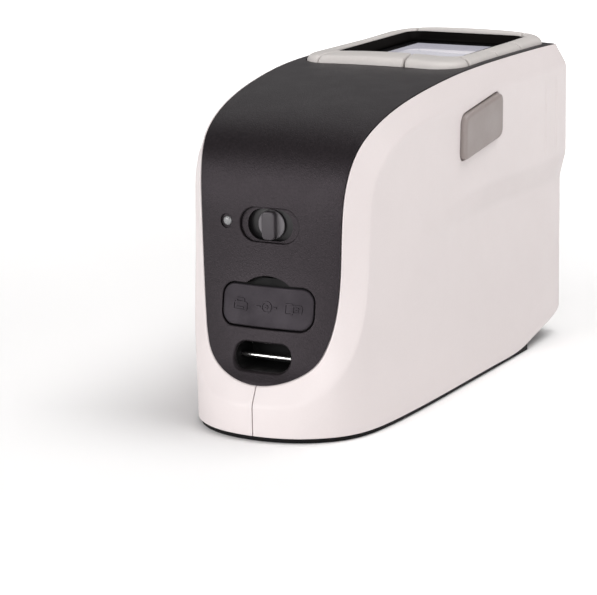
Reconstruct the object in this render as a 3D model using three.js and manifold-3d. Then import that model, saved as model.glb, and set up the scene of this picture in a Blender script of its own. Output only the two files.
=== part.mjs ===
// Portable colour spectrophotometer, millimetres, +Z up.
// +Y runs from the socket end to the far end, +X is the side of the measure button,
// and the origin is on the underside of the base plate.
import * as THREE from "three";
import { mergeVertices } from "three/addons/utils/BufferGeometryUtils.js";
import Module from "manifold-3d";

const wasm = await Module();
wasm.setup();

// Driving sizes of the case
const caseLength = 181;
const caseWidth = 73;
const caseHeight = 110;
const wall = 2.2;
const halfLength = caseLength / 2;
const halfWidth = caseWidth / 2;
const halfHeight = caseHeight / 2;

// Places that follow the case: shares of its half width, its half length and its height
const acrossShares = {
  deckHalfWidth: 0.76712,
  postX: 0.71781,
  standoffX: 0.57534,
  mainBoardHalfWidth: 0.71233,
  shieldHalfWidth: 0.32877,
  buzzerX: 0.41096,
  frontBoardHalfWidth: 0.57534,
  flapHalfWidth: 0.45205,
  notchHalfWidth: 0.23288,
  strapHalfWidth: 0.27945,
  ringHalfWidth: 0.8274,
  ringInnerHalfWidth: 0.65479,
  frameBossX: 0.49315,
  nearDivisionLeft: -0.63014,
  nearDivisionMiddle: 0.27397,
  farDivisionX: 0.57534,
  spectrometerHalfWidth: 0.46575,
};
const alongShares = {
  noseStart: 0.62983,
  noseReach: 0.0442,
  apertureY: 0.37569,
  sphereRadius: 0.18785,
  deckFar: 0.88398,
  postY: 0.57459,
  batteryNear: -0.66298,
  batteryFar: -0.0663,
  mainBoardNear: -0.64088,
  mainBoardFar: 0.70718,
  shieldNear: -0.37569,
  shieldFar: -0.0442,
  buzzerY: 0.26519,
  frontBoardY: -0.71823,
  portFrameBack: -0.81105,
  socketFront: -0.82873,
  strapPocketBack: -0.78011,
  strapBarY: -0.85746,
  ringNear: -0.00442,
  ringFar: 0.92928,
  ringInnerNear: 0.16133,
  ringInnerFar: 0.86851,
  framePlateNear: -0.0884,
  frameBossY: -0.05525,
  sideDivisionRightNear: 0.40331,
  sideDivisionRightFar: 0.62983,
  sideDivisionLeft: 0.53481,
  triggerY: 0.07735,
};
const upShares = {
  deckHeight: 0.56364,
  frontBoardLow: 0.31364,
  frontBoardHigh: 0.7,
  switchHeight: 0.62,
  lampHeight: 0.62273,
  flapLow: 0.32182,
  flapHigh: 0.44182,
  strapLow: 0.19909,
  strapHigh: 0.27818,
  strapBarZ: 0.22909,
  triggerZ: 0.81818,
  triggerBoardLow: 0.72727,
  triggerBoardHigh: 0.88182,
  gripRibLow: 0.64909,
  gripRibHigh: 0.88182,
};

// Clearances
const fitGap = 0.3;
const seamGap = 0.3;
const coverGap = 0.35;
const holeGap = 0.4;
const cutOverrun = 8;
const mergeTolerance = 0.003;

// Facets
const stationsPerSpan = 2;
const farStations = 2;
const arcFacets = 4;
const roundFacets = 20;
const smallRoundFacets = 12;
const coverColumnShares = [1, 0.72, 0.38, 0];

// The case is a loft between three guide lines on its right half, each written as shares of
// the half width, the half length and the height, from the front seam to the far corner.
const coverEdgeShares = [
  [0.0, -0.969, 0.155],
  [0.208, -0.961, 0.166],
  [0.397, -0.934, 0.19],
  [0.537, -0.906, 0.226],
  [0.611, -0.882, 0.278],
  [0.663, -0.854, 0.355],
  [0.696, -0.839, 0.473],
  [0.704, -0.836, 0.6],
  [0.723, -0.827, 0.727],
  [0.759, -0.786, 0.821],
  [0.797, -0.712, 0.882],
  [0.844, -0.506, 0.945],
  [0.896, -0.197, 0.981],
  [0.918, 0.028, 0.995],
  [0.918, 0.442, 0.996],
  [0.918, 0.745, 0.992],
  [0.918, 0.862, 0.989],
  [0.885, 0.923, 0.984],
  [0.808, 0.957, 0.98],
  [0.685, 0.967, 0.979],
];
const creaseShares = [
  [0.0, -1.0, 0.109],
  [0.219, -0.993, 0.104],
  [0.425, -0.966, 0.115],
  [0.614, -0.919, 0.151],
  [0.74, -0.869, 0.202],
  [0.842, -0.804, 0.305],
  [0.876, -0.766, 0.482],
  [0.88, -0.754, 0.627],
  [0.893, -0.743, 0.736],
  [0.926, -0.68, 0.808],
  [0.948, -0.586, 0.853],
  [0.975, -0.42, 0.889],
  [0.995, -0.16, 0.906],
  [1.0, 0.088, 0.914],
  [1.0, 0.442, 0.917],
  [1.0, 0.74, 0.916],
  [1.0, 0.884, 0.915],
  [0.975, 0.952, 0.915],
  [0.893, 0.988, 0.915],
  [0.767, 1.0, 0.915],
];
const footShares = [
  [0.0, -1.0, 0.015],
  [0.219, -0.991, 0.015],
  [0.433, -0.965, 0.015],
  [0.616, -0.917, 0.015],
  [0.756, -0.857, 0.015],
  [0.849, -0.779, 0.015],
  [0.901, -0.663, 0.015],
  [0.921, -0.53, 0.015],
  [0.932, -0.42, 0.015],
  [0.937, -0.309, 0.015],
  [0.94, -0.199, 0.015],
  [0.94, -0.055, 0.015],
  [0.94, 0.133, 0.015],
  [0.94, 0.309, 0.015],
  [0.94, 0.53, 0.015],
  [0.94, 0.663, 0.04],
  [0.94, 0.862, 0.071],
  [0.912, 0.952, 0.094],
  [0.833, 0.988, 0.101],
  [0.712, 1.0, 0.104],
];
// The cover's centre line, as shares of the half length and the height
const coverMiddleShares = [
  [-0.969, 0.155],
  [-0.964, 0.166],
  [-0.947, 0.19],
  [-0.928, 0.226],
  [-0.909, 0.278],
  [-0.884, 0.355],
  [-0.86, 0.473],
  [-0.852, 0.6],
  [-0.84, 0.73],
  [-0.798, 0.827],
  [-0.723, 0.89],
  [-0.514, 0.953],
  [-0.201, 0.988],
  [0.027, 1.0],
  [0.442, 1.0],
  [0.745, 0.998],
  [0.862, 0.995],
  [0.923, 0.991],
  [0.957, 0.987],
  [0.967, 0.985],
];
// Where along the guide lines the finger recess of the side starts and is full,
// and the heights of its upper and lower lines
const recessStartShare = 0.47;
const recessFullShare = 0.66;
const recessTopShare = 0.624;
const recessFootShare = 0.54;
const recessDipShare = 0.09;
const frontRecessTopShare = 0.35;
const frontRecessFootShare = 0.5;
const tipAimShare = 0.2;
const farAimShare = 0.85;

// Base plate
const plateInset = 1;
const plateFloor = 1.9;
const lipGap = 0.8;
const lipInset = wall + lipGap;
const lipWidth = 1.2;
const lipHeight = 2;
const noseStart = alongShares.noseStart * halfLength;
const noseReach = alongShares.noseReach * halfLength;
const screwBossRadius = 4.2;
const screwBossHeight = 4.2;

// Measuring aperture and the integrating sphere over it
const apertureY = alongShares.apertureY * halfLength;
const apertureRadius = 4;
const apertureRingRadius = 9;
const apertureFlangeRadius = 11.5;
const apertureFlangeHeight = 1;
const apertureConeRadius = 6;
const sphereRadius = alongShares.sphereRadius * halfLength;
const sphereWall = 4;
const sphereBlockRadius = sphereRadius + sphereWall;
const sphereFloor = 2.6;
const spherePortRadius = 6.5;
const sphereTopPortRadius = 5;
const sphereSteps = 5;
const boardThickness = 1.2;
const spectrometerHalfWidth = acrossShares.spectrometerHalfWidth * halfWidth;
const spectrometerLength = 38;
const spectrometerWall = 2;
const lensTubeRadius = 4.4;

// Chassis
const deckHeight = upShares.deckHeight * caseHeight;
const deckThickness = 2.2;
const deckHalfWidth = acrossShares.deckHalfWidth * halfWidth;
const deckFar = alongShares.deckFar * halfLength;
const postX = acrossShares.postX * halfWidth;
const postY = alongShares.postY * halfLength;
const postRadius = 3.4;
const screwHoleRadius = 1.7;
const screwHoleDepth = 10;
const standoffHeight = 1.7;
const standoffRadius = 2.6;
const standoffX = acrossShares.standoffX * halfWidth;

// Base screws
const screwHeadRadius = 2.6;
const screwHeadHeight = 1.4;
const screwRecess = 0.2;
const screwShankRadius = 1.4;
const screwLength = 9;

// Battery
const batteryNear = alongShares.batteryNear * halfLength;
const batteryFar = alongShares.batteryFar * halfLength;
const batteryHeight = 20;
const cradleWall = 1.5;
const cradleGap = 1;
const batteryHalfWidth = postX - postRadius - cradleGap - cradleWall - fitGap;
const cradleHeight = 9;

// Main board
const mainBoardHalfWidth = acrossShares.mainBoardHalfWidth * halfWidth;
const mainBoardNear = alongShares.mainBoardNear * halfLength;
const mainBoardFar = alongShares.mainBoardFar * halfLength;
const shieldHalfWidth = acrossShares.shieldHalfWidth * halfWidth;
const shieldNear = alongShares.shieldNear * halfLength;
const shieldFar = alongShares.shieldFar * halfLength;
const shieldHeight = 3;
const buzzerRadius = 5.5;
const buzzerHeight = 4;
const buzzerX = acrossShares.buzzerX * halfWidth;
const buzzerY = alongShares.buzzerY * halfLength;
const buzzerBore = 1;

// Front board, which carries the power switch and the sockets
const frontBoardY = alongShares.frontBoardY * halfLength;
const frontBoardHalfWidth = acrossShares.frontBoardHalfWidth * halfWidth;
const frontBoardLow = upShares.frontBoardLow * caseHeight;
const frontBoardHigh = upShares.frontBoardHigh * caseHeight;

// Power switch
const switchHeight = upShares.switchHeight * caseHeight;
const switchRecessHalfWidth = 10.7;
const switchRecessHalfHeight = 5.5;
const switchRecessDepth = 1.1;
const switchSlotHalfWidth = 8.2;
const switchSlotHalfHeight = 5.1;
const sliderPlateHalfWidth = 11.2;
const sliderPlateHalfHeight = 6.2;
const sliderPlateThickness = 1.2;
const sliderPlateGap = 0.9;
const sliderDiscRadius = 4.7;
const sliderDiscDepth = 1.5;
const sliderRibHalfWidth = 2.35;
const sliderRibHalfHeight = 4.6;
const sliderRibProud = 0.6;
const switchBodyHalfWidth = 7;
const switchBodyHalfHeight = 4.5;

// Status lamp
const lampSpacing = 5;
const lampX = -switchRecessHalfWidth - lampSpacing;
const lampRadius = 1.5;
const lampRingRadius = 2.2;
const lampRingDepth = 0.5;
const lampHeight = upShares.lampHeight * caseHeight;

// Port flap and the sockets behind it
const flapHalfWidth = acrossShares.flapHalfWidth * halfWidth;
const flapLow = upShares.flapLow * caseHeight;
const flapHigh = upShares.flapHigh * caseHeight;
const flapCornerShare = 0.33;
const flapCorner = flapCornerShare * (flapHigh - flapLow);
const flapThickness = 2;
const flapSwingGap = 0.3;
const notchHalfWidth = acrossShares.notchHalfWidth * halfWidth;
const notchRise = 3.2;
const notchDepth = 1.5;
const portFrameMargin = 2.2;
const portFrameBack = alongShares.portFrameBack * halfLength;
const socketFront = alongShares.socketFront * halfLength;
const socketHalfWidth = 4.2;
const socketHalfHeight = 4;
const socketPitch = 9.8;
const socketDepth = 6;
const usbMouthHalfWidth = 3.4;
const usbMouthHalfHeight = 1.6;
const usbTongueHalfHeight = 0.5;
const usbTongueHalfWidth = 2.4;
const powerMouthRadius = 2.9;
const powerPinRadius = 0.9;
const printerMouthHalfWidth = 3.3;
const printerMouthHalfHeight = 1.8;
const mouthCorner = 0.6;

// Strap slot
const strapHalfWidth = acrossShares.strapHalfWidth * halfWidth;
const strapLow = upShares.strapLow * caseHeight;
const strapHigh = upShares.strapHigh * caseHeight;
const strapCornerShare = 0.46;
const strapCorner = strapCornerShare * (strapHigh - strapLow);
const strapRim = 1;
const strapRimDepth = 0.9;
const strapPocketWall = 1.3;
const strapPocketBack = alongShares.strapPocketBack * halfLength;
const strapBarRadius = 0.9;
const strapBarY = alongShares.strapBarY * halfLength;
const strapBarZ = upShares.strapBarZ * caseHeight;
const strapBarGap = 0.2;

// Key ring and display
const ringHalfWidth = acrossShares.ringHalfWidth * halfWidth;
const ringNear = alongShares.ringNear * halfLength;
const ringFar = alongShares.ringFar * halfLength;
const ringCorner = 11;
const ringInnerHalfWidth = acrossShares.ringInnerHalfWidth * halfWidth;
const ringInnerNear = alongShares.ringInnerNear * halfLength;
const ringInnerFar = alongShares.ringInnerFar * halfLength;
const ringInnerCorner = 6.5;
const ringRise = 2.7;
const ringTop = caseHeight + ringRise;
const ringRound = 2.2;
const ringRoundSteps = 2;
const crownStep = 9;
const ringDrop = 1.2;
const keyFlange = 0.6;
const keyFlangeThickness = 0.8;
const keyFlangeDepth = 3.3;
const keyGap = 0.4;
const keyRestGap = 0.8;
const keyMatThickness = 0.5;
const keyBoardThickness = 1;
const keyBoardWidthTrim = 0.5;
const framePlateThickness = 1.3;
const framePlateMargin = 0.6;
const framePlateNear = alongShares.framePlateNear * halfLength;
const frameBossRadius = 2.6;
const frameBossX = acrossShares.frameBossX * halfWidth;
const frameBossY = alongShares.frameBossY * halfLength;
const frameWall = 1.7;
const frameTopRise = 1.2;
const frameRim = 0.8;
const frameLip = 0.7;
const frameLipThickness = 3;
const frameLipEdge = 0.6;
const windowThickness = 1.4;
const lcdThickness = 4;
const lcdBoardMargin = 4;
// The divisions between keys: two along the near bar, a mitre at its right end,
// two more up the right side, one up the left side and two at the far bar
const nearDivisionLeft = acrossShares.nearDivisionLeft * halfWidth;
const nearDivisionMiddle = acrossShares.nearDivisionMiddle * halfWidth;
const nearDivisionSlant = 3;
const sideDivisionRightNear = alongShares.sideDivisionRightNear * halfLength;
const sideDivisionRightFar = alongShares.sideDivisionRightFar * halfLength;
const sideDivisionLeft = alongShares.sideDivisionLeft * halfLength;
const farDivisionX = acrossShares.farDivisionX * halfWidth;

// Measure button
const buttonOutlineShares = [
  [-0.0994, 0.7291],
  [0.2497, 0.7664],
  [0.2541, 0.9055],
  [-0.0906, 0.8673],
];
const buttonOutline = buttonOutlineShares.map(([y, z]) => [y * halfLength, z * caseHeight]);
const buttonCorner = 2.6;
const buttonProud = 2;
const buttonFlange = 1;
const buttonFlangeThickness = 1;
const buttonRound = 0.7;
const buttonTravel = 1.2;
const triggerGap = 0.3;
const triggerDepth = 2.8;
const triggerHalfSize = 3;
const triggerY = alongShares.triggerY * halfLength;
const triggerZ = upShares.triggerZ * caseHeight;
const triggerBoardHalfWidth = 9;
const triggerBoardLow = upShares.triggerBoardLow * caseHeight;
const triggerBoardHigh = upShares.triggerBoardHigh * caseHeight;
const bracketThickness = 2.2;

// Grip ribs on the sides
const gripRibShares = [0.7182, 0.8221];
const gripRibYs = gripRibShares.map((share) => share * halfLength);
const gripRibHalfWidth = 0.9;
const gripRibLow = upShares.gripRibLow * caseHeight;
const gripRibHigh = upShares.gripRibHigh * caseHeight;
const gripRibProud = 0.35;

const materials = {
  shell: new THREE.MeshStandardMaterial({ color: 0xe9e1de, roughness: 0.5 }),
  cover: new THREE.MeshStandardMaterial({ color: 0x2b292b, roughness: 0.55 }),
  base: new THREE.MeshStandardMaterial({ color: 0x1b1a1b, roughness: 0.6 }),
  key: new THREE.MeshStandardMaterial({ color: 0xb9b2ab, roughness: 0.5 }),
  button: new THREE.MeshStandardMaterial({ color: 0x9a938e, roughness: 0.5 }),
  rubber: new THREE.MeshStandardMaterial({ color: 0x39383b, roughness: 0.7 }),
  switchBlack: new THREE.MeshStandardMaterial({ color: 0x3a393c, roughness: 0.4 }),
  lamp: new THREE.MeshStandardMaterial({ color: 0x77777c, roughness: 0.2 }),
  screen: new THREE.MeshStandardMaterial({ color: 0xd9d7e4, roughness: 0.12 }),
  steel: new THREE.MeshStandardMaterial({ color: 0xd8d8d8, roughness: 0.25, metalness: 1 }),
  aluminium: new THREE.MeshStandardMaterial({ color: 0xb4b6b8, roughness: 0.4, metalness: 1 }),
  board: new THREE.MeshStandardMaterial({ color: 0x1f5a36, roughness: 0.6 }),
  whiteCoat: new THREE.MeshStandardMaterial({ color: 0xf4f4f0, roughness: 0.9 }),
  chassis: new THREE.MeshStandardMaterial({ color: 0x55565a, roughness: 0.6 }),
  battery: new THREE.MeshStandardMaterial({ color: 0x2f4f86, roughness: 0.5 }),
};

// A closed three.js geometry becomes a manifold-3d solid once its vertices are shared.
function solidOf(geometry) {
  const bare = geometry.clone();
  bare.deleteAttribute("normal");
  bare.deleteAttribute("uv");
  const merged = mergeVertices(bare);
  const vertProperties = new Float32Array(merged.attributes.position.array);
  const triVerts = new Uint32Array(merged.index.array);
  return new wasm.Manifold(new wasm.Mesh({ numProp: 3, vertProperties, triVerts }));
}

// A solid from loose triangles: shared vertices are merged, folded triangles dropped,
// and all faces turned round if they look inwards.
function solidFromTriangles(triangles) {
  const geometry = new THREE.BufferGeometry().setFromPoints(triangles.flat());
  const merged = mergeVertices(geometry, mergeTolerance);
  const spots = merged.attributes.position;
  const corner = (index) => new THREE.Vector3().fromBufferAttribute(spots, index);
  const faces = [];
  let volume = 0;
  for (let i = 0; i < merged.index.count; i += 3) {
    const [a, b, c] = [0, 1, 2].map((k) => merged.index.getX(i + k));
    if (a === b || b === c || c === a) continue;
    faces.push([a, b, c]);
    volume += corner(a).dot(corner(b).cross(corner(c)));
  }
  const facing = volume < 0 ? faces.map(([a, b, c]) => [a, c, b]) : faces;
  const vertProperties = new Float32Array(spots.array);
  const triVerts = new Uint32Array(facing.flat());
  return new wasm.Manifold(new wasm.Mesh({ numProp: 3, vertProperties, triVerts }));
}

function namedMesh(name, solid, material) {
  const made = solid.getMesh();
  const geometry = new THREE.BufferGeometry();
  const positions = new THREE.BufferAttribute(new Float32Array(made.vertProperties), 3);
  geometry.setAttribute("position", positions);
  geometry.setIndex(new THREE.BufferAttribute(new Uint32Array(made.triVerts), 1));
  const flat = geometry.toNonIndexed();
  flat.computeVertexNormals();
  const mesh = new THREE.Mesh(flat, material);
  mesh.name = name;
  return mesh;
}

function join(solids) {
  return solids.reduce((sum, next) => sum.add(next));
}

function cut(solid, cutters) {
  return cutters.reduce((rest, next) => rest.subtract(next), solid);
}

// A block between two places on each axis
function block([left, right], [near, far], [low, high]) {
  const geometry = new THREE.BoxGeometry(right - left, far - near, high - low);
  geometry.translate((left + right) / 2, (near + far) / 2, (low + high) / 2);
  return solidOf(geometry);
}

// A flat outline in X and Y, raised along Z
function prismZ(shape, [low, high]) {
  const options = { depth: high - low, bevelEnabled: false, curveSegments: arcFacets };
  return solidOf(new THREE.ExtrudeGeometry(shape, options).translate(0, 0, low));
}

// An outline in X and Z, run along Y
function prismY(shape, [near, far]) {
  const options = { depth: far - near, bevelEnabled: false, curveSegments: arcFacets };
  const geometry = new THREE.ExtrudeGeometry(shape, options);
  return solidOf(geometry.rotateX(Math.PI / 2).translate(0, far, 0));
}

// Turns a geometry whose outline is in its own X and Y so that the outline lies in Y and Z
function standAlongX(geometry) {
  const turn = new THREE.Matrix4().makeBasis(
    new THREE.Vector3(0, 1, 0),
    new THREE.Vector3(0, 0, 1),
    new THREE.Vector3(1, 0, 0),
  );
  return geometry.applyMatrix4(turn);
}

function prismX(shape, [left, right]) {
  const options = { depth: right - left, bevelEnabled: false, curveSegments: arcFacets };
  const geometry = standAlongX(new THREE.ExtrudeGeometry(shape, options));
  return solidOf(geometry.translate(left, 0, 0));
}

function cylinderZ(radius, x, y, [low, high], facets = smallRoundFacets) {
  const geometry = new THREE.CylinderGeometry(radius, radius, high - low, facets);
  geometry.rotateX(Math.PI / 2).translate(x, y, (low + high) / 2);
  return solidOf(geometry);
}

function cylinderY(radius, x, z, [near, far], facets = smallRoundFacets) {
  const geometry = new THREE.CylinderGeometry(radius, radius, far - near, facets);
  return solidOf(geometry.translate(x, (near + far) / 2, z));
}

function cylinderX(radius, y, z, [left, right], facets = smallRoundFacets) {
  const geometry = new THREE.CylinderGeometry(radius, radius, right - left, facets);
  return solidOf(geometry.rotateZ(Math.PI / 2).translate((left + right) / 2, y, z));
}

// A closed profile of [radius, height] points turned about a vertical axis
function turned(profile, x, y, facets = roundFacets) {
  const closed = [...profile, profile[0]].map(([r, z]) => new THREE.Vector2(r, z));
  const geometry = new THREE.LatheGeometry(closed, facets);
  const upright = geometry.rotateX(Math.PI / 2).translate(x, y, 0);
  const spots = upright.toNonIndexed().attributes.position;
  const triangles = [];
  for (let i = 0; i < spots.count; i += 3) {
    triangles.push([0, 1, 2].map((k) => new THREE.Vector3().fromBufferAttribute(spots, i + k)));
  }
  return solidFromTriangles(triangles);
}

// An outline through corner points, each corner rounded off
function roundedOutline(corners, radius) {
  const spots = corners.map(([x, y]) => new THREE.Vector2(x, y));
  const shape = new THREE.Shape();
  spots.forEach((spot, i) => {
    const before = spots[(i + spots.length - 1) % spots.length];
    const after = spots[(i + 1) % spots.length];
    const enter = spot.clone().add(before.clone().sub(spot).setLength(radius));
    const leave = spot.clone().add(after.clone().sub(spot).setLength(radius));
    if (i === 0) shape.moveTo(enter.x, enter.y);
    else shape.lineTo(enter.x, enter.y);
    shape.quadraticCurveTo(spot.x, spot.y, leave.x, leave.y);
  });
  shape.closePath();
  return shape;
}

function roundedBox([left, right], [low, high], radius) {
  const shape = new THREE.Shape();
  shape.absarc(left + radius, low + radius, radius, Math.PI, 1.5 * Math.PI);
  shape.absarc(right - radius, low + radius, radius, 1.5 * Math.PI, 2 * Math.PI);
  shape.absarc(right - radius, high - radius, radius, 0, 0.5 * Math.PI);
  shape.absarc(left + radius, high - radius, radius, 0.5 * Math.PI, Math.PI);
  shape.closePath();
  return shape;
}

function stadium(x, z, halfWide, halfHigh) {
  return roundedBox([x - halfWide, x + halfWide], [z - halfHigh, z + halfHigh], halfHigh);
}

// The case's guide lines
function guideLine(shares) {
  const points = shares.map(
    ([x, y, z]) => new THREE.Vector3(x * halfWidth, y * halfLength, z * caseHeight),
  );
  return new THREE.CatmullRomCurve3(points, false, "centripetal");
}

const coverEdge = guideLine(coverEdgeShares);
const crease = guideLine(creaseShares);
const foot = guideLine(footShares);
const coverMiddle = guideLine(coverMiddleShares.map(([y, z]) => [0, y, z]));
const stationCount = (coverEdgeShares.length - 1) * stationsPerSpan;
const stations = Array.from({ length: stationCount + 1 }, (_, i) => i / stationCount);

// A point moved in from the skin: the skin shrinks towards the middle of the case.
function inset(point, depth) {
  return new THREE.Vector3(
    point.x * (1 - depth / halfWidth),
    point.y * (1 - depth / halfLength),
    halfHeight + (point.z - halfHeight) * (1 - depth / halfHeight),
  );
}

// How far the finger recess has come in at a station, from none to full
function recessDepth(t) {
  return THREE.MathUtils.smoothstep(t, recessStartShare, recessFullShare);
}

// The right side's section at a station, from the cover's edge down to the foot
function sideSection(t) {
  const [top, middle, bottom] = [coverEdge, crease, foot].map((line) => line.getPoint(t));
  const amount = recessDepth(t);
  const dip = recessDipShare * (1 - amount);
  const drop = middle.z - bottom.z;
  const shareAt = (heightShare) => (middle.z - (heightShare - dip) * caseHeight) / drop;
  const upper = THREE.MathUtils.lerp(frontRecessTopShare, shareAt(recessTopShare), amount);
  const lower = THREE.MathUtils.lerp(frontRecessFootShare, shareAt(recessFootShare), amount);
  const recessTop = middle.clone().lerp(bottom, upper);
  const recessFoot = middle.clone().lerp(bottom, lower);
  recessTop.x = THREE.MathUtils.lerp(recessTop.x, middle.x, amount);
  recessFoot.x = THREE.MathUtils.lerp(recessFoot.x, bottom.x, amount);
  return [top, middle, recessTop, recessFoot, bottom];
}

// A point of the crowned cover between its edge (share 1 or -1) and its middle (share 0)
function coverPoint(t, share, shift = new THREE.Vector3()) {
  const edge = coverEdge.getPoint(t).add(shift);
  const middle = coverMiddle.getPoint(t).add(shift);
  const crown = 1 - share * share;
  return new THREE.Vector3(
    edge.x * share,
    THREE.MathUtils.lerp(edge.y, middle.y, crown),
    THREE.MathUtils.lerp(edge.z, middle.z, crown),
  );
}

// The way from the cover's edge into the cover, square to the edge
function coverInward(t) {
  const aim = coverMiddle.getPoint(THREE.MathUtils.clamp(t, tipAimShare, farAimShare));
  const along = coverEdge.getTangent(t);
  const inward = aim.sub(coverEdge.getPoint(t));
  return inward.addScaledVector(along, -inward.dot(along)).normalize();
}

function quadTriangles(a, b, c, d) {
  return [
    [a, b, c],
    [a, c, d],
  ];
}

// Triangles between neighbouring rows of a grid of points
function gridTriangles(grid) {
  return grid.slice(1).flatMap((row, i) =>
    row.slice(1).flatMap((point, j) => quadTriangles(grid[i][j], row[j], point, grid[i][j + 1])),
  );
}

// A plate between an outer and an inner grid of the same layout
function plateSolid(outer, inner) {
  const last = outer.length - 1;
  const end = outer[0].length - 1;
  const rim = [
    gridTriangles([inner[0], outer[0]]),
    gridTriangles([outer[last], inner[last]]),
    gridTriangles([outer.map((row) => row[0]), inner.map((row) => row[0])]),
    gridTriangles([inner.map((row) => row[end]), outer.map((row) => row[end])]),
  ];
  const inside = gridTriangles(inner).map(([a, b, c]) => [a, c, b]);
  return solidFromTriangles([...gridTriangles(outer), ...inside, ...rim.flat()]);
}

// The whole case as one closed body, its skin moved in by a depth
function caseBody(depth) {
  const loops = stations.map((t) => {
    const side = sideSection(t).slice(1).reverse();
    const top = coverColumnShares.map((share) => coverPoint(t, share));
    const right = [...side, ...top].map((point) => inset(point, depth));
    const left = right.map((point) => new THREE.Vector3(-point.x, point.y, point.z)).reverse();
    return [...right, ...left, right[0]];
  });
  const lastLoop = loops[stationCount];
  const count = (lastLoop.length - 1) / 2;
  const rightEnd = lastLoop.slice(0, count);
  const leftEnd = lastLoop.slice(count, 2 * count).reverse();
  return solidFromTriangles([...gridTriangles(loops), ...gridTriangles([rightEnd, leftEnd])]);
}

// Half of the white case, from the front seam along the side and round the far end
function sideShell() {
  const sections = stations.map(sideSection);
  const corner = sections[stationCount];
  for (let i = 1; i <= farStations; i += 1) {
    const share = 1 - i / farStations;
    const section = corner.map((point) => new THREE.Vector3(point.x * share, point.y, point.z));
    section[0].copy(coverPoint(1, share));
    sections.push(section);
  }
  const atSeam = (point) => {
    point.x = Math.max(point.x, seamGap / 2);
    return point;
  };
  const outer = sections.map((section) => section.map((point) => atSeam(point.clone())));
  const inner = sections.map((section) =>
    section.map((point, j) => {
      const inside = inset(point, wall);
      if (j === section.length - 1) inside.z = point.z;
      return atSeam(inside);
    }),
  );
  const ribs = gripRibYs.map((y) => {
    const outline = roundedBox(
      [y - gripRibHalfWidth, y + gripRibHalfWidth],
      [gripRibLow, gripRibHigh],
      gripRibHalfWidth,
    );
    return prismX(outline, [halfWidth - wall / 2, halfWidth + gripRibProud]);
  });
  return join([plateSolid(outer, inner), ...ribs]);
}

const mirrorPlane = [1, 0, 0];

function grownButtonOutline(margin) {
  const middle = buttonOutline
    .reduce((sum, [y, z]) => [sum[0] + y, sum[1] + z], [0, 0])
    .map((sum) => sum / buttonOutline.length);
  const grown = buttonOutline.map(([y, z]) => [
    y + margin * Math.sign(y - middle[0]),
    z + margin * Math.sign(z - middle[1]),
  ]);
  return roundedOutline(grown, buttonCorner + margin);
}

function buttonHole() {
  return prismX(grownButtonOutline(holeGap), [halfWidth - cutOverrun, halfWidth + cutOverrun]);
}

function centreCover() {
  const shares = [...coverColumnShares, ...coverColumnShares.slice(0, -1).reverse().map((s) => -s)];
  const outer = stations.map((t) => {
    const shift = coverInward(t).multiplyScalar(coverGap);
    return shares.map((share) => {
      const middleShift = new THREE.Vector3(shift.x * Math.abs(share), shift.y, shift.z);
      return coverPoint(t, share, middleShift);
    });
  });
  const inner = outer.map((row) => row.map((point) => inset(point, wall)));
  const front = [-halfLength - cutOverrun, 0];
  const switchRecess = prismY(
    stadium(0, switchHeight, switchRecessHalfWidth, switchRecessHalfHeight),
    front,
  ).subtract(caseBody(switchRecessDepth));
  const switchSlot = prismY(
    stadium(0, switchHeight, switchSlotHalfWidth, switchSlotHalfHeight),
    front,
  );
  const strapRimCut = prismY(
    roundedBox(
      [-strapHalfWidth - strapRim, strapHalfWidth + strapRim],
      [strapLow - strapRim, strapHigh + strapRim],
      strapCorner + strapRim,
    ),
    front,
  ).subtract(caseBody(strapRimDepth));
  const lampRing = cylinderY(lampRingRadius, lampX, lampHeight, front);
  const keyOpening = ringOutline(holeGap);
  return cut(plateSolid(outer, inner), [
    switchRecess,
    switchSlot,
    strapRimCut,
    prismY(strapOutline(0), front),
    lampRing.subtract(caseBody(lampRingDepth)),
    cylinderY(lampRadius + fitGap / 2, lampX, lampHeight, front),
    prismY(flapOutline(holeGap), front),
    fingerNotch(),
    prismZ(keyOpening, [caseHeight - 2 * cutOverrun, caseHeight + cutOverrun]),
  ]);
}

function strapOutline(margin) {
  return roundedBox(
    [-strapHalfWidth - margin, strapHalfWidth + margin],
    [strapLow - margin, strapHigh + margin],
    strapCorner + margin,
  );
}

function flapOutline(margin) {
  return roundedBox(
    [-flapHalfWidth - margin, flapHalfWidth + margin],
    [flapLow - margin, flapHigh + margin],
    flapCorner + margin,
  );
}

// A shallow round-topped notch over the flap, for a fingernail
function fingerNotch() {
  const radius = (notchHalfWidth ** 2 + notchRise ** 2) / (2 * notchRise);
  const centre = flapHigh + notchRise - radius;
  const front = [-halfLength - cutOverrun, 0];
  const disc = cylinderY(radius, 0, centre, front, roundFacets * 2);
  const above = block([-radius, radius], front, [flapHigh, flapHigh + notchRise + cutOverrun]);
  return disc.intersect(above).subtract(caseBody(notchDepth));
}

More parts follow.
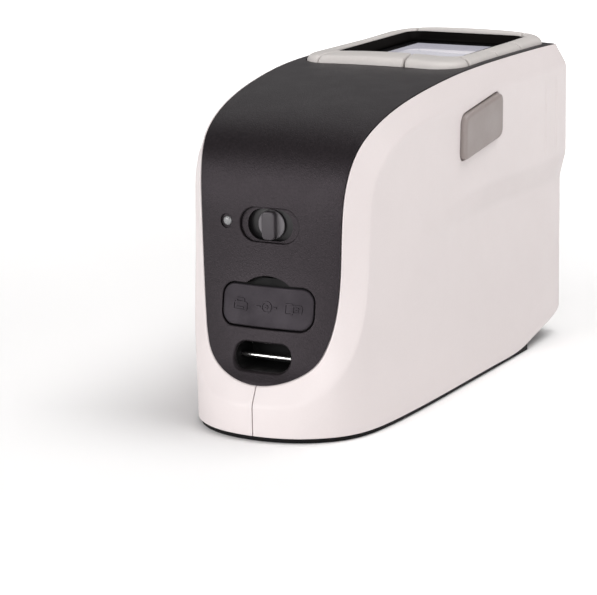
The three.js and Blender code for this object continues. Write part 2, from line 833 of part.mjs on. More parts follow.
// The base plate is a stack of outlines: its underside, its edge under the shells,
// and a lip that stands inside them. In the raised nose only the part inside the lip goes on.
function basePlate() {
  const nearNose = (t) => Math.abs(foot.getPoint(t).y - noseStart) < noseReach;
  const spans = stations.filter((t, i) => i % stationsPerSpan === 0 || nearNose(t));
  const foots = spans.map((t) => [foot.getPoint(t), foot.getTangent(t)]);
  const corner = foots[foots.length - 1][0];
  for (let i = 1; i <= farStations; i += 1) {
    const share = 1 - i / farStations;
    const spot = new THREE.Vector3(corner.x * share, corner.y, corner.z);
    foots.push([spot, new THREE.Vector3(-1, 0, 0)]);
  }
  const ring = (insetAt, heightAt) => {
    const right = foots.map(([spot, along]) => {
      const outward = new THREE.Vector2(along.y, -along.x).normalize();
      const depth = insetAt(spot);
      const x = Math.max(0, spot.x - outward.x * depth);
      return new THREE.Vector3(x, spot.y - outward.y * depth, heightAt(spot));
    });
    const left = right.map((point) => new THREE.Vector3(-point.x, point.y, point.z));
    return { right, left, loop: [...right, ...left.slice().reverse(), right[0]] };
  };
  const inNose = (spot) => spot.y > noseStart;
  const underside = (spot) => (inNose(spot) ? spot.z + fitGap : 0);
  const ledge = (spot) => (inNose(spot) ? spot.z + 2 * fitGap : spot.z - fitGap);
  const outside = (spot) => (inNose(spot) ? lipInset : plateInset);
  const lipTop = (spot) => spot.z + lipHeight + fitGap;
  const rings = [
    ring(outside, underside),
    ring(outside, ledge),
    ring(() => lipInset, ledge),
    ring(() => lipInset, lipTop),
    ring(() => lipInset + lipWidth, lipTop),
    ring(() => lipInset + lipWidth, (spot) => underside(spot) + plateFloor),
  ];
  const first = rings[0];
  const last = rings[rings.length - 1];
  const tray = solidFromTriangles([
    ...gridTriangles(rings.map((r) => r.loop)),
    ...gridTriangles([first.left, first.right]),
    ...gridTriangles([last.right, last.left]),
  ]);
  const bosses = postSpots().map(([x, y]) =>
    cylinderZ(screwBossRadius, x, y, [plateFloor / 2, screwBossHeight]),
  );
  const holes = postSpots().flatMap(([x, y]) => [
    cylinderZ(screwShankRadius + fitGap, x, y, [-cutOverrun, screwBossHeight + cutOverrun]),
    cylinderZ(screwHeadRadius + fitGap, x, y, [
      -cutOverrun,
      screwRecess + screwHeadHeight + fitGap,
    ]),
  ]);
  const aperture = cylinderZ(
    apertureRingRadius + fitGap,
    0,
    apertureY,
    [-cutOverrun, cutOverrun],
    roundFacets,
  );
  return cut(join([tray, ...bosses]), [...holes, aperture]);
}

function postSpots() {
  return [-postX, postX].flatMap((x) => [-postY, postY].map((y) => [x, y]));
}

function baseScrew([x, y]) {
  const neck = screwRecess + screwHeadHeight;
  return join([
    cylinderZ(screwHeadRadius, x, y, [screwRecess, neck]),
    cylinderZ(screwShankRadius, x, y, [neck - fitGap, neck + screwLength]),
  ]);
}

// Heights of the stack over the measuring aperture
const ringFlangeLow = plateFloor + fitGap;
const ringFlangeHigh = ringFlangeLow + apertureFlangeHeight;
const sphereLow = ringFlangeHigh + fitGap;
const sphereMiddle = sphereLow + sphereFloor + sphereRadius;
const sphereHigh = sphereMiddle + sphereRadius + sphereFloor;
const sourceBoardLow = sphereHigh + fitGap;
const spectrometerLow = sourceBoardLow + boardThickness + fitGap;
const spectrometerHigh = deckHeight - fitGap;

function apertureRing() {
  return turned(
    [
      [apertureRadius, screwRecess],
      [apertureRingRadius, screwRecess],
      [apertureRingRadius, ringFlangeLow],
      [apertureFlangeRadius, ringFlangeLow],
      [apertureFlangeRadius, ringFlangeHigh],
      [apertureConeRadius, ringFlangeHigh],
    ],
    0,
    apertureY,
  );
}

// One half of the integrating sphere: a turned block with a round port and half of the cavity
function sphereHalf(portRadius, side) {
  const start = Math.asin(portRadius / sphereRadius);
  const joint = sphereMiddle + (side * fitGap) / 2;
  const floor = sphereMiddle + side * (sphereRadius + sphereFloor);
  const cavity = Array.from({ length: sphereSteps + 1 }, (_, i) => {
    const angle = THREE.MathUtils.lerp(Math.PI / 2, start, i / sphereSteps);
    const height = Math.max(Math.cos(angle) * sphereRadius, fitGap / 2);
    return [Math.sin(angle) * sphereRadius, sphereMiddle + side * height];
  });
  return turned(
    [
      [portRadius, floor],
      [sphereBlockRadius, floor],
      [sphereBlockRadius, joint],
      ...cavity,
    ],
    0,
    apertureY,
  );
}

function sourceBoard() {
  const heights = [sourceBoardLow, sourceBoardLow + boardThickness];
  const disc = cylinderZ(sphereBlockRadius - fitGap, 0, apertureY, heights, roundFacets);
  const hole = [sourceBoardLow - cutOverrun, sourceBoardLow + cutOverrun];
  return disc.subtract(cylinderZ(lensTubeRadius + 2 * fitGap, 0, apertureY, hole));
}

// The spectrometer's housing: a box open at its far side, with the lens tube under it
function spectrometerHousing() {
  const near = apertureY - spectrometerLength / 2;
  const far = apertureY + spectrometerLength / 2;
  const body = block(
    [-spectrometerHalfWidth, spectrometerHalfWidth],
    [near, far],
    [spectrometerLow, spectrometerHigh],
  );
  const room = block(
    [-spectrometerHalfWidth + spectrometerWall, spectrometerHalfWidth - spectrometerWall],
    [near + spectrometerWall, far + cutOverrun],
    [spectrometerLow + spectrometerWall, spectrometerHigh - spectrometerWall],
  );
  const tube = cylinderZ(lensTubeRadius, 0, apertureY, [
    sourceBoardLow - fitGap,
    spectrometerLow + spectrometerWall / 2,
  ]);
  const bore = cylinderZ(lensTubeRadius / 2, 0, apertureY, [
    sourceBoardLow - cutOverrun,
    spectrometerLow + spectrometerWall + fitGap,
  ]);
  return cut(join([body, tube]), [room, bore]);
}

function sensorBoard() {
  const near = apertureY + spectrometerLength / 2 + fitGap;
  return block(
    [-spectrometerHalfWidth, spectrometerHalfWidth],
    [near, near + boardThickness],
    [spectrometerLow, spectrometerHigh],
  );
}

// The chassis: a deck on four hollow posts, standoffs for the main board,
// and an upright bracket for the trigger board
function chassis() {
  const deckTop = deckHeight + deckThickness;
  const deck = block(
    [-deckHalfWidth, deckHalfWidth],
    [frontBoardY + fitGap, deckFar],
    [deckHeight, deckTop],
  );
  const posts = postSpots().map(([x, y]) =>
    cylinderZ(postRadius, x, y, [screwBossHeight + fitGap, deckHeight + deckThickness / 2]),
  );
  const bores = postSpots().map(([x, y]) =>
    cylinderZ(screwHoleRadius, x, y, [-cutOverrun, screwBossHeight + screwHoleDepth]),
  );
  const standoffs = standoffSpots().map(([x, y]) =>
    cylinderZ(standoffRadius, x, y, [deckTop - fitGap, deckTop + standoffHeight]),
  );
  const bracketRight = triggerBoardFace - boardThickness - fitGap;
  const bracket = block(
    [bracketRight - bracketThickness, bracketRight],
    [triggerY - triggerBoardHalfWidth, triggerY + triggerBoardHalfWidth],
    [deckTop - fitGap, triggerBoardHigh],
  );
  return cut(join([deck, ...posts, ...standoffs, bracket]), bores);
}

function standoffSpots() {
  const ys = [mainBoardNear + 2 * standoffRadius, mainBoardFar - 2 * standoffRadius];
  return [-standoffX, standoffX].flatMap((x) => ys.map((y) => [x, y]));
}

const mainBoardLow = deckHeight + deckThickness + standoffHeight + fitGap;
const mainBoardHigh = mainBoardLow + boardThickness;

// The main board has a bay cut in its right edge for the trigger bracket.
function mainBoard() {
  const board = block(
    [-mainBoardHalfWidth, mainBoardHalfWidth],
    [mainBoardNear, mainBoardFar],
    [mainBoardLow, mainBoardHigh],
  );
  const bayLeft = triggerBoardFace - boardThickness - bracketThickness - 2 * fitGap - holeGap;
  const bayHalf = triggerBoardHalfWidth + holeGap;
  const bay = block(
    [bayLeft, mainBoardHalfWidth + cutOverrun],
    [triggerY - bayHalf, triggerY + bayHalf],
    [mainBoardLow - cutOverrun, mainBoardHigh + cutOverrun],
  );
  return board.subtract(bay);
}

function processorShield() {
  const low = mainBoardHigh + fitGap;
  return block([-shieldHalfWidth, shieldHalfWidth], [shieldNear, shieldFar], [
    low,
    low + shieldHeight,
  ]);
}

function buzzer() {
  const low = mainBoardHigh + fitGap;
  const can = cylinderZ(buzzerRadius, -buzzerX, buzzerY, [low, low + buzzerHeight], roundFacets);
  const soundHole = [low + buzzerHeight / 2, low + buzzerHeight + cutOverrun];
  return can.subtract(cylinderZ(buzzerBore, -buzzerX, buzzerY, soundHole));
}

function batteryCradle() {
  const low = plateFloor + fitGap;
  const half = batteryHalfWidth + fitGap + cradleWall;
  const near = batteryNear - fitGap - cradleWall;
  const far = batteryFar + fitGap + cradleWall;
  const tray = block([-half, half], [near, far], [low, low + cradleHeight]);
  const room = block(
    [-half + cradleWall, half - cradleWall],
    [near + cradleWall, far - cradleWall],
    [low + cradleWall, low + cradleHeight + cutOverrun],
  );
  return tray.subtract(room);
}

function batteryPack() {
  const low = plateFloor + cradleWall + 2 * fitGap;
  const radius = batteryHeight / 2;
  const outline = roundedBox(
    [-batteryHalfWidth, batteryHalfWidth],
    [low, low + batteryHeight],
    radius - fitGap,
  );
  return prismY(outline, [batteryNear, batteryFar]);
}

function frontBoard() {
  return block(
    [-frontBoardHalfWidth, frontBoardHalfWidth],
    [frontBoardY - boardThickness, frontBoardY],
    [frontBoardLow, frontBoardHigh],
  );
}

const boardFront = frontBoardY - boardThickness - fitGap;
const sliderBack = coverMiddle.getPoint(coverMiddleStationShare()).y * (1 - wall / halfLength);

// The guide line's share at which the cover's middle is at the switch's height
function coverMiddleStationShare() {
  return stations.find((t) => coverMiddle.getPoint(t).z >= switchHeight);
}

// The power slider: a plate behind the cover, a disc in the slot and an upright rib on it
function powerSlider() {
  const plateFront = sliderBack + sliderPlateGap;
  const ribFront = sliderBack - wall - sliderRibProud;
  const plate = prismY(
    roundedBox(
      [-sliderPlateHalfWidth, sliderPlateHalfWidth],
      [switchHeight - sliderPlateHalfHeight, switchHeight + sliderPlateHalfHeight],
      sliderPlateHalfHeight / 2,
    ),
    [plateFront, plateFront + sliderPlateThickness],
  );
  const disc = cylinderY(sliderDiscRadius, 0, switchHeight, [
    plateFront - sliderDiscDepth,
    plateFront + fitGap,
  ]);
  const rib = prismY(
    roundedBox(
      [-sliderRibHalfWidth, sliderRibHalfWidth],
      [switchHeight - sliderRibHalfHeight, switchHeight + sliderRibHalfHeight],
      sliderRibHalfWidth / 2,
    ),
    [ribFront, plateFront + fitGap],
  );
  return join([plate, disc, rib]);
}

function powerSwitch() {
  const front = sliderBack + sliderPlateGap + sliderPlateThickness + fitGap;
  return block(
    [-switchBodyHalfWidth, switchBodyHalfWidth],
    [front, boardFront],
    [switchHeight - switchBodyHalfHeight, switchHeight + switchBodyHalfHeight],
  );
}

function lampLens() {
  const pipe = cylinderY(lampRadius, lampX, lampHeight, [-halfLength, boardFront]);
  return pipe.intersect(caseBody(fitGap));
}

// The flap is cut from the case's own skin, and trimmed to the circle that its top edge
// swings on, so that it turns out of its opening about its lower edge.
function flapHingeY() {
  const low = prismY(flapOutline(0), [-halfLength - cutOverrun, 0]);
  const slice = block(
    [-flapHalfWidth, flapHalfWidth],
    [-halfLength - cutOverrun, 0],
    [flapLow, flapLow + fitGap],
  );
  return caseBody(0).intersect(low).intersect(slice).boundingBox().min[1];
}

function portFlap() {
  const outline = prismY(flapOutline(0), [-halfLength - cutOverrun, 0]);
  const sheet = caseBody(0).subtract(caseBody(flapThickness));
  const swing = flapHigh - flapLow + holeGap + flapSwingGap;
  const swept = cylinderX(
    swing,
    flapHingeY(),
    flapLow,
    [-flapHalfWidth - cutOverrun, flapHalfWidth + cutOverrun],
    roundFacets * 3,
  );
  return sheet.intersect(outline).intersect(swept);
}

function portMiddle() {
  return (flapLow + flapHigh) / 2;
}

function portFrame() {
  const plate = prismY(flapOutline(portFrameMargin), [-halfLength, portFrameBack]);
  const holes = [-socketPitch, 0, socketPitch].map((x) =>
    block(
      [x - socketHalfWidth - fitGap, x + socketHalfWidth + fitGap],
      [-halfLength, portFrameBack + cutOverrun],
      [
        portMiddle() - socketHalfHeight - fitGap,
        portMiddle() + socketHalfHeight + fitGap,
      ],
    ),
  );
  return cut(plate.intersect(caseBody(wall + fitGap)), holes);
}

function socketBody(x) {
  return block(
    [x - socketHalfWidth, x + socketHalfWidth],
    [socketFront, boardFront],
    [portMiddle() - socketHalfHeight, portMiddle() + socketHalfHeight],
  );
}

function mouth(x, halfWide, halfHigh, corner) {
  const outline = roundedBox(
    [x - halfWide, x + halfWide],
    [portMiddle() - halfHigh, portMiddle() + halfHigh],
    corner,
  );
  return prismY(outline, [socketFront - cutOverrun, socketFront + socketDepth]);
}

function usbSocket() {
  const tongue = block(
    [socketPitch - usbTongueHalfWidth, socketPitch + usbTongueHalfWidth],
    [socketFront + wall / 2, socketFront + socketDepth + fitGap],
    [portMiddle() - usbTongueHalfHeight, portMiddle() + usbTongueHalfHeight],
  );
  const opening = mouth(socketPitch, usbMouthHalfWidth, usbMouthHalfHeight, mouthCorner);
  return socketBody(socketPitch).subtract(opening).add(tongue);
}

function powerSocket() {
  const bore = cylinderY(powerMouthRadius, 0, portMiddle(), [
    socketFront - cutOverrun,
    socketFront + socketDepth,
  ]);
  const pin = cylinderY(powerPinRadius, 0, portMiddle(), [
    socketFront + wall / 2,
    socketFront + socketDepth + fitGap,
  ]);
  return socketBody(0).subtract(bore).add(pin);
}

function printerSocket() {
  const opening = mouth(
    -socketPitch,
    printerMouthHalfWidth,
    printerMouthHalfHeight,
    printerMouthHalfHeight / 2,
  );
  return socketBody(-socketPitch).subtract(opening);
}

// A cup behind the strap slot, its front following the inside of the cover
function strapPocket() {
  const backed = strapPocketBack + strapPocketWall;
  const outside = prismY(strapOutline(strapPocketWall), [-halfLength, backed]);
  const inside = prismY(strapOutline(0), [-halfLength - cutOverrun, strapPocketBack]);
  const barHole = cylinderX(strapBarRadius + strapBarGap, strapBarY, strapBarZ, [
    -strapHalfWidth - cutOverrun,
    strapHalfWidth + cutOverrun,
  ]);
  return cut(outside.intersect(caseBody(wall + fitGap)), [inside, barHole]);
}

function strapBar() {
  const reach = strapHalfWidth + strapPocketWall;
  return cylinderX(strapBarRadius, strapBarY, strapBarZ, [-reach, reach]);
}

// The outline of the whole key ring, grown by a margin
function ringOutline(margin) {
  return roundedBox(
    [-ringHalfWidth - margin, ringHalfWidth + margin],
    [ringNear - margin, ringFar + margin],
    ringCorner + margin,
  );
}

function windowOutline(margin) {
  return roundedBox(
    [-ringInnerHalfWidth - margin, ringInnerHalfWidth + margin],
    [ringInnerNear - margin, ringInnerFar + margin],
    ringInnerCorner + margin,
  );
}

// The same outline with points along its straight runs too, so that it can be bent
function denseOutline(shape) {
  const points = shape.getPoints(arcFacets);
  const dense = points.flatMap((point, i) => {
    const next = points[(i + 1) % points.length];
    const parts = Math.max(1, Math.round(point.distanceTo(next) / crownStep));
    return Array.from({ length: parts }, (_, k) => point.clone().lerp(next, k / parts));
  });
  return new THREE.Shape(dense);
}

function asHole(shape) {
  return new THREE.Path(shape.getPoints(arcFacets).reverse());
}

// Heights of the keypad, counted down from the cover
const keyFoot = caseHeight - keyFlangeDepth - keyFlangeThickness;
const keyMatHigh = keyFoot - keyRestGap;
const keyMatLow = keyMatHigh - keyMatThickness;
const keyBoardHigh = keyMatLow - fitGap / 2;
const keyBoardLow = keyBoardHigh - keyBoardThickness;
const framePlateHigh = keyBoardLow - fitGap / 2;
const framePlateLow = framePlateHigh - framePlateThickness;

// The ring that the keys are cut from: a rounded bar that follows the crown of the cover
function ringBody() {
  const shape = denseOutline(ringOutline(-ringRound));
  shape.holes.push(asHole(denseOutline(windowOutline(ringRound))));
  const options = {
    depth: ringTop - keyFoot,
    bevelEnabled: true,
    bevelThickness: ringRound,
    bevelSize: ringRound,
    bevelSegments: ringRoundSteps,
    curveSegments: arcFacets,
  };
  const geometry = new THREE.ExtrudeGeometry(shape, options);
  geometry.translate(0, 0, keyFoot - ringRound);
  const spots = geometry.attributes.position;
  for (let i = 0; i < spots.count; i += 1) {
    const share = spots.getX(i) / ringHalfWidth;
    spots.setZ(i, spots.getZ(i) - ringDrop * share * share);
  }
  const reach = ringHalfWidth + cutOverrun;
  const above = block([-reach, reach], [ringNear - cutOverrun, ringFar + cutOverrun], [
    keyFoot,
    ringTop + cutOverrun,
  ]);
  const flangeShape = ringOutline(keyFlange);
  flangeShape.holes.push(asHole(windowOutline(0)));
  const flange = prismZ(flangeShape, [keyFoot, keyFoot + keyFlangeThickness]);
  return solidOf(geometry).intersect(above).add(flange.intersect(caseBody(wall + fitGap)));
}

// A region of the ring in plan, as an upright prism, narrowed by half a key gap at each division
function ringRegion(corners) {
  const shape = new THREE.Shape(corners.map(([x, y]) => new THREE.Vector2(x, y)));
  return prismZ(shape, [keyFoot - cutOverrun, ringTop + cutOverrun]);
}

function keys() {
  const half = keyGap / 2;
  const out = ringHalfWidth + cutOverrun;
  const near = ringNear - cutOverrun;
  const far = ringFar + cutOverrun;
  const middleX = 0;
  const insideNear = ringInnerNear + ringInnerCorner / 2;
  const mitreX = ringInnerHalfWidth;
  const regions = {
    key_left_near: [
      [-out, near],
      [nearDivisionLeft - half, near],
      [nearDivisionLeft + nearDivisionSlant - half, insideNear],
      [middleX, insideNear],
      [middleX, sideDivisionLeft - half],
      [-out, sideDivisionLeft - half],
    ],
    key_near_long: [
      [nearDivisionLeft + half, near],
      [nearDivisionMiddle + nearDivisionSlant - half, near],
      [nearDivisionMiddle - nearDivisionSlant - half, insideNear],
      [nearDivisionLeft + nearDivisionSlant + half, insideNear],
    ],
    key_near_short: [
      [nearDivisionMiddle + nearDivisionSlant + half, near],
      [out, near],
      [out, ringNear + ringCorner - nearDivisionSlant - half],
      [mitreX - nearDivisionSlant, insideNear],
      [nearDivisionMiddle - nearDivisionSlant + half, insideNear],
    ],
    key_right_near: [
      [out, ringNear + ringCorner - nearDivisionSlant + half],
      [out, sideDivisionRightNear - half],
      [middleX, sideDivisionRightNear - half],
      [middleX, insideNear + 2 * half],
      [mitreX - nearDivisionSlant, insideNear + 2 * half],
    ],
    key_right_middle: [
      [middleX, sideDivisionRightNear + half],
      [out, sideDivisionRightNear + half],
      [out, sideDivisionRightFar - half],
      [middleX, sideDivisionRightFar - half],
    ],
    key_right_far: [
      [middleX, sideDivisionRightFar + half],
      [out, sideDivisionRightFar + half],
      [out, far],
      [farDivisionX + half, far],
      [farDivisionX + half, ringInnerFar - ringInnerCorner],
      [middleX, ringInnerFar - ringInnerCorner],
    ],
    key_left_far: [
      [-out, sideDivisionLeft + half],
      [middleX, sideDivisionLeft + half],
      [middleX, ringInnerFar - ringInnerCorner],
      [-farDivisionX - half, ringInnerFar - ringInnerCorner],
      [-farDivisionX - half, far],
      [-out, far],
    ],
    key_ring_bar: [
      [-farDivisionX + half, ringInnerFar - ringInnerCorner],
      [farDivisionX - half, ringInnerFar - ringInnerCorner],
      [farDivisionX - half, far],
      [-farDivisionX + half, far],
    ],
  };
  const ring = ringBody();
  return Object.entries(regions).map(([name, corners]) => [
    name,
    ring.intersect(ringRegion(corners)),
  ]);
}

function ringSheet(outerMargin, innerMargin, heights) {
  const shape = ringOutline(outerMargin);
  shape.holes.push(asHole(windowOutline(innerMargin)));
  return prismZ(shape, heights);
}

function keyMat() {
  return ringSheet(keyFlange - keyBoardWidthTrim, keyGap, [keyMatLow, keyMatHigh]);
}

function keyBoard() {
  return ringSheet(keyFlange - keyBoardWidthTrim, keyGap, [keyBoardLow, keyBoardHigh]);
}

const frameTop = caseHeight + frameTopRise;
const windowHigh = frameTop - frameLipThickness - fitGap;
const windowLow = windowHigh - windowThickness;
const lcdLow = windowLow - fitGap - lcdThickness;

// The opening over the window: its walls slope in from the frame's rim to the lip's edge.
function frameView() {
  const low = windowHigh + fitGap + frameLipEdge;
  const options = {
    depth: cutOverrun,
    bevelEnabled: true,
    bevelThickness: frameTop - low,
    bevelSize: frameWall + frameLip - frameRim,
    bevelSegments: 1,
    curveSegments: arcFacets,
  };
  const outline = windowOutline(-keyGap - frameWall - frameLip);
  const funnel = solidOf(new THREE.ExtrudeGeometry(outline, options).translate(0, 0, frameTop));
  return funnel.add(prismZ(outline, [framePlateLow - cutOverrun, frameTop]));
}

// The display frame: a plate under the keypad, and a raised frame with a lip over the window
function displayFrame() {
  const plate = prismZ(
    roundedBox(
      [-ringHalfWidth - framePlateMargin, ringHalfWidth + framePlateMargin],
      [framePlateNear, ringFar + framePlateMargin],
      ringCorner / 2,
    ),
    [framePlateLow, framePlateHigh],
  );
  const raised = prismZ(windowOutline(-keyGap), [
    framePlateLow,
    frameTop,
  ]);
  const bossTop = inset(new THREE.Vector3(0, 0, coverEdge.getPoint(farAimShare).z), wall).z;
  const bosses = [-frameBossX, frameBossX].map((x) =>
    cylinderZ(frameBossRadius, x, frameBossY, [framePlateLow, bossTop - 2 * fitGap]),
  );
  const room = prismZ(windowOutline(-keyGap - frameWall), [
    framePlateLow - cutOverrun,
    windowHigh + fitGap,
  ]);
  return cut(join([plate, raised, ...bosses]), [room, frameView()]);
}

function displayWindow() {
  return prismZ(windowOutline(-keyGap - frameWall - fitGap), [windowLow, windowHigh]);
}

function lcdModule() {
  return prismZ(windowOutline(-keyGap - frameWall - fitGap), [lcdLow, lcdLow + lcdThickness]);
}

function lcdBoard() {
  const high = Math.min(lcdLow, framePlateLow) - fitGap;
  return prismZ(windowOutline(lcdBoardMargin - keyGap), [high - boardThickness, high]);
}

// The measure button: a rounded cap through the right shell with a flange behind its wall
const buttonFace = halfWidth + buttonProud;
const flangeOuterFace = halfWidth - wall - fitGap;
const flangeInnerFace = flangeOuterFace - buttonFlangeThickness;
const triggerFace = flangeInnerFace - buttonTravel - triggerGap;
const triggerBoardFace = triggerFace - triggerDepth - fitGap;

function measureButton() {
  const options = {
    depth: buttonFace - flangeOuterFace - buttonRound,
    bevelEnabled: true,
    bevelThickness: buttonRound,
    bevelSize: buttonRound,
    bevelSegments: 2,
    curveSegments: arcFacets,
  };
  const shape = grownButtonOutline(-buttonRound);
  const geometry = standAlongX(new THREE.ExtrudeGeometry(shape, options));
  const cap = solidOf(geometry.translate(flangeOuterFace, 0, 0));
  const reach = halfWidth + cutOverrun;
  const outside = block([flangeOuterFace, reach], [-halfLength, halfLength], [0, caseHeight]);
  const flange = prismX(grownButtonOutline(buttonFlange), [
    flangeInnerFace,
    flangeOuterFace + fitGap / 2,
  ]);
  return cap.intersect(outside).add(flange.intersect(caseBody(wall + fitGap)));
}

function triggerSwitch() {
  return block(
    [triggerFace - triggerDepth, triggerFace],
    [triggerY - triggerHalfSize, triggerY + triggerHalfSize],
    [triggerZ - triggerHalfSize, triggerZ + triggerHalfSize],
  );
}

function triggerBoard() {
  return block(
    [triggerBoardFace - boardThickness, triggerBoardFace],
    [triggerY - triggerBoardHalfWidth, triggerY + triggerBoardHalfWidth],
    [triggerBoardLow, triggerBoardHigh],
  );
}

function group(pieces) {
  const made = new THREE.Group();
  pieces.forEach(([name, solid, material]) => made.add(namedMesh(name, solid, material)));
  return made;
}

const rightShell = sideShell();
const screwNames = ["left_near", "left_far", "right_near", "right_far"];

const part = new THREE.Group();
part.add(
  group([
    ["left_shell", rightShell.mirror(mirrorPlane), materials.shell],
    ["right_shell", rightShell.subtract(buttonHole()), materials.shell],
    ["centre_cover", centreCover(), materials.cover],
    ["base_plate", basePlate(), materials.base],
    ...postSpots().map((spot, i) => [
      `base_screw_${screwNames[i]}`,
      baseScrew(spot),
      materials.steel,
    ]),
  ]),
  group([
    ["display_frame", displayFrame(), materials.cover],
    ["display_window", displayWindow(), materials.screen],
    ["lcd_module", lcdModule(), materials.aluminium],
    ["lcd_board", lcdBoard(), materials.board],
    ["key_mat", keyMat(), materials.rubber],
    ["key_board", keyBoard(), materials.board],
    ...keys().map(([name, solid]) => [name, solid, materials.key]),
  ]),
  group([
    ["measure_button", measureButton(), materials.button],
    ["trigger_switch", triggerSwitch(), materials.switchBlack],
    ["trigger_board", triggerBoard(), materials.board],
  ]),
  group([
    ["power_slider", powerSlider(), materials.switchBlack],
    ["power_switch", powerSwitch(), materials.steel],
    ["lamp_lens", lampLens(), materials.lamp],
    ["port_flap", portFlap(), materials.rubber],
    ["port_frame", portFrame(), materials.base],
    ["usb_socket", usbSocket(), materials.steel],
    ["power_socket", powerSocket(), materials.base],
    ["printer_socket", printerSocket(), materials.base],
    ["front_board", frontBoard(), materials.board],
    ["strap_pocket", strapPocket(), materials.base],
    ["strap_bar", strapBar(), materials.steel],
  ]),
  group([
    ["aperture_ring", apertureRing(), materials.base],
    ["sphere_lower", sphereHalf(spherePortRadius, -1), materials.whiteCoat],
    ["sphere_upper", sphereHalf(sphereTopPortRadius, 1), materials.whiteCoat],
    ["source_board", sourceBoard(), materials.board],
    ["spectrometer_housing", spectrometerHousing(), materials.aluminium],
    ["sensor_board", sensorBoard(), materials.board],
  ]),
  group([
    ["chassis", chassis(), materials.chassis],
    ["main_board", mainBoard(), materials.board],
    ["processor_shield", processorShield(), materials.steel],
    ["buzzer", buzzer(), materials.base],
    ["battery_cradle", batteryCradle(), materials.chassis],
    ["battery_pack", batteryPack(), materials.battery],
  ]),
);

console.log(`port flap hinge at y ${flapHingeY().toFixed(3)}, z ${flapLow}`);

export default part;
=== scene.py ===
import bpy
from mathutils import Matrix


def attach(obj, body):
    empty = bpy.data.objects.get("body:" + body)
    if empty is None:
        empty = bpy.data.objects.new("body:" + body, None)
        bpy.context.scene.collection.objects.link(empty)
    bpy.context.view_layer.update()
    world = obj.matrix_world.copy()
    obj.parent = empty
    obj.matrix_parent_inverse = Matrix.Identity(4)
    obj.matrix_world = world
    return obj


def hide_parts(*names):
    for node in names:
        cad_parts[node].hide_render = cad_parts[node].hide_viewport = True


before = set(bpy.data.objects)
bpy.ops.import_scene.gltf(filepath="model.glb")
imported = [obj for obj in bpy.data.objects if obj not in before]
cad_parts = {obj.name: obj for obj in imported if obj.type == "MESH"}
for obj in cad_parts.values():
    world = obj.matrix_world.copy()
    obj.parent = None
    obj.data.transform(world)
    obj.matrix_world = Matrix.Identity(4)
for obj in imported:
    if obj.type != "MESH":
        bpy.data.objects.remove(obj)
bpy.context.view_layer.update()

import bmesh
import bpy
import numpy as np
from mathutils import Matrix, Vector

mm = 0.001
print("frame loaded, nodes:", len(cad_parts))

# The camera stands where the photograph was taken from: its place in millimetres, its three
# directions, its lens and the width of its sensor
camera = {
    "place": (394.7, -793.1, 235.2),
    "right": (0.8828, 0.4694, -0.0162),
    "up": (-0.0927, 0.2080, 0.9737),
    "ahead": (-0.4605, 0.8581, -0.2271),
    "lens": 157.29,
    "sensor": 36,
    "clip": (0.05, 30),
}


# A camera's own axes are its right, its up and the way back from what it looks at
def standCamera():
    data = bpy.data.cameras.new("photoCamera")
    data.lens, data.sensor_width = camera["lens"], camera["sensor"]
    data.clip_start, data.clip_end = camera["clip"]
    made = bpy.data.objects.new("photoCamera", data)
    bpy.context.scene.collection.objects.link(made)
    turn = Matrix([camera["right"], camera["up"], [-part for part in camera["ahead"]]]).transposed()
    made.matrix_world = Matrix.Translation(Vector(camera["place"]) * mm) @ turn.to_4x4()
    bpy.context.scene.camera = made


standCamera()


# A wire is a node's output that can be used in sums like a number
class Wire:
    def __init__(self, finish, socket):
        self.finish, self.socket = finish, socket

    def sum(self, operation, first, second):
        return self.finish.node("ShaderNodeMath", {"operation": operation}, {0: first, 1: second})

    def __add__(self, other):
        return self.sum("ADD", self, other)

    def __radd__(self, other):
        return self.sum("ADD", other, self)

    def __sub__(self, other):
        return self.sum("SUBTRACT", self, other)

    def __rsub__(self, other):
        return self.sum("SUBTRACT", other, self)

    def __mul__(self, other):
        return self.sum("MULTIPLY", self, other)

    def __rmul__(self, other):
        return self.sum("MULTIPLY", other, self)

    def __gt__(self, other):
        return self.sum("GREATER_THAN", self, other)

    def __lt__(self, other):
        return self.sum("LESS_THAN", self, other)


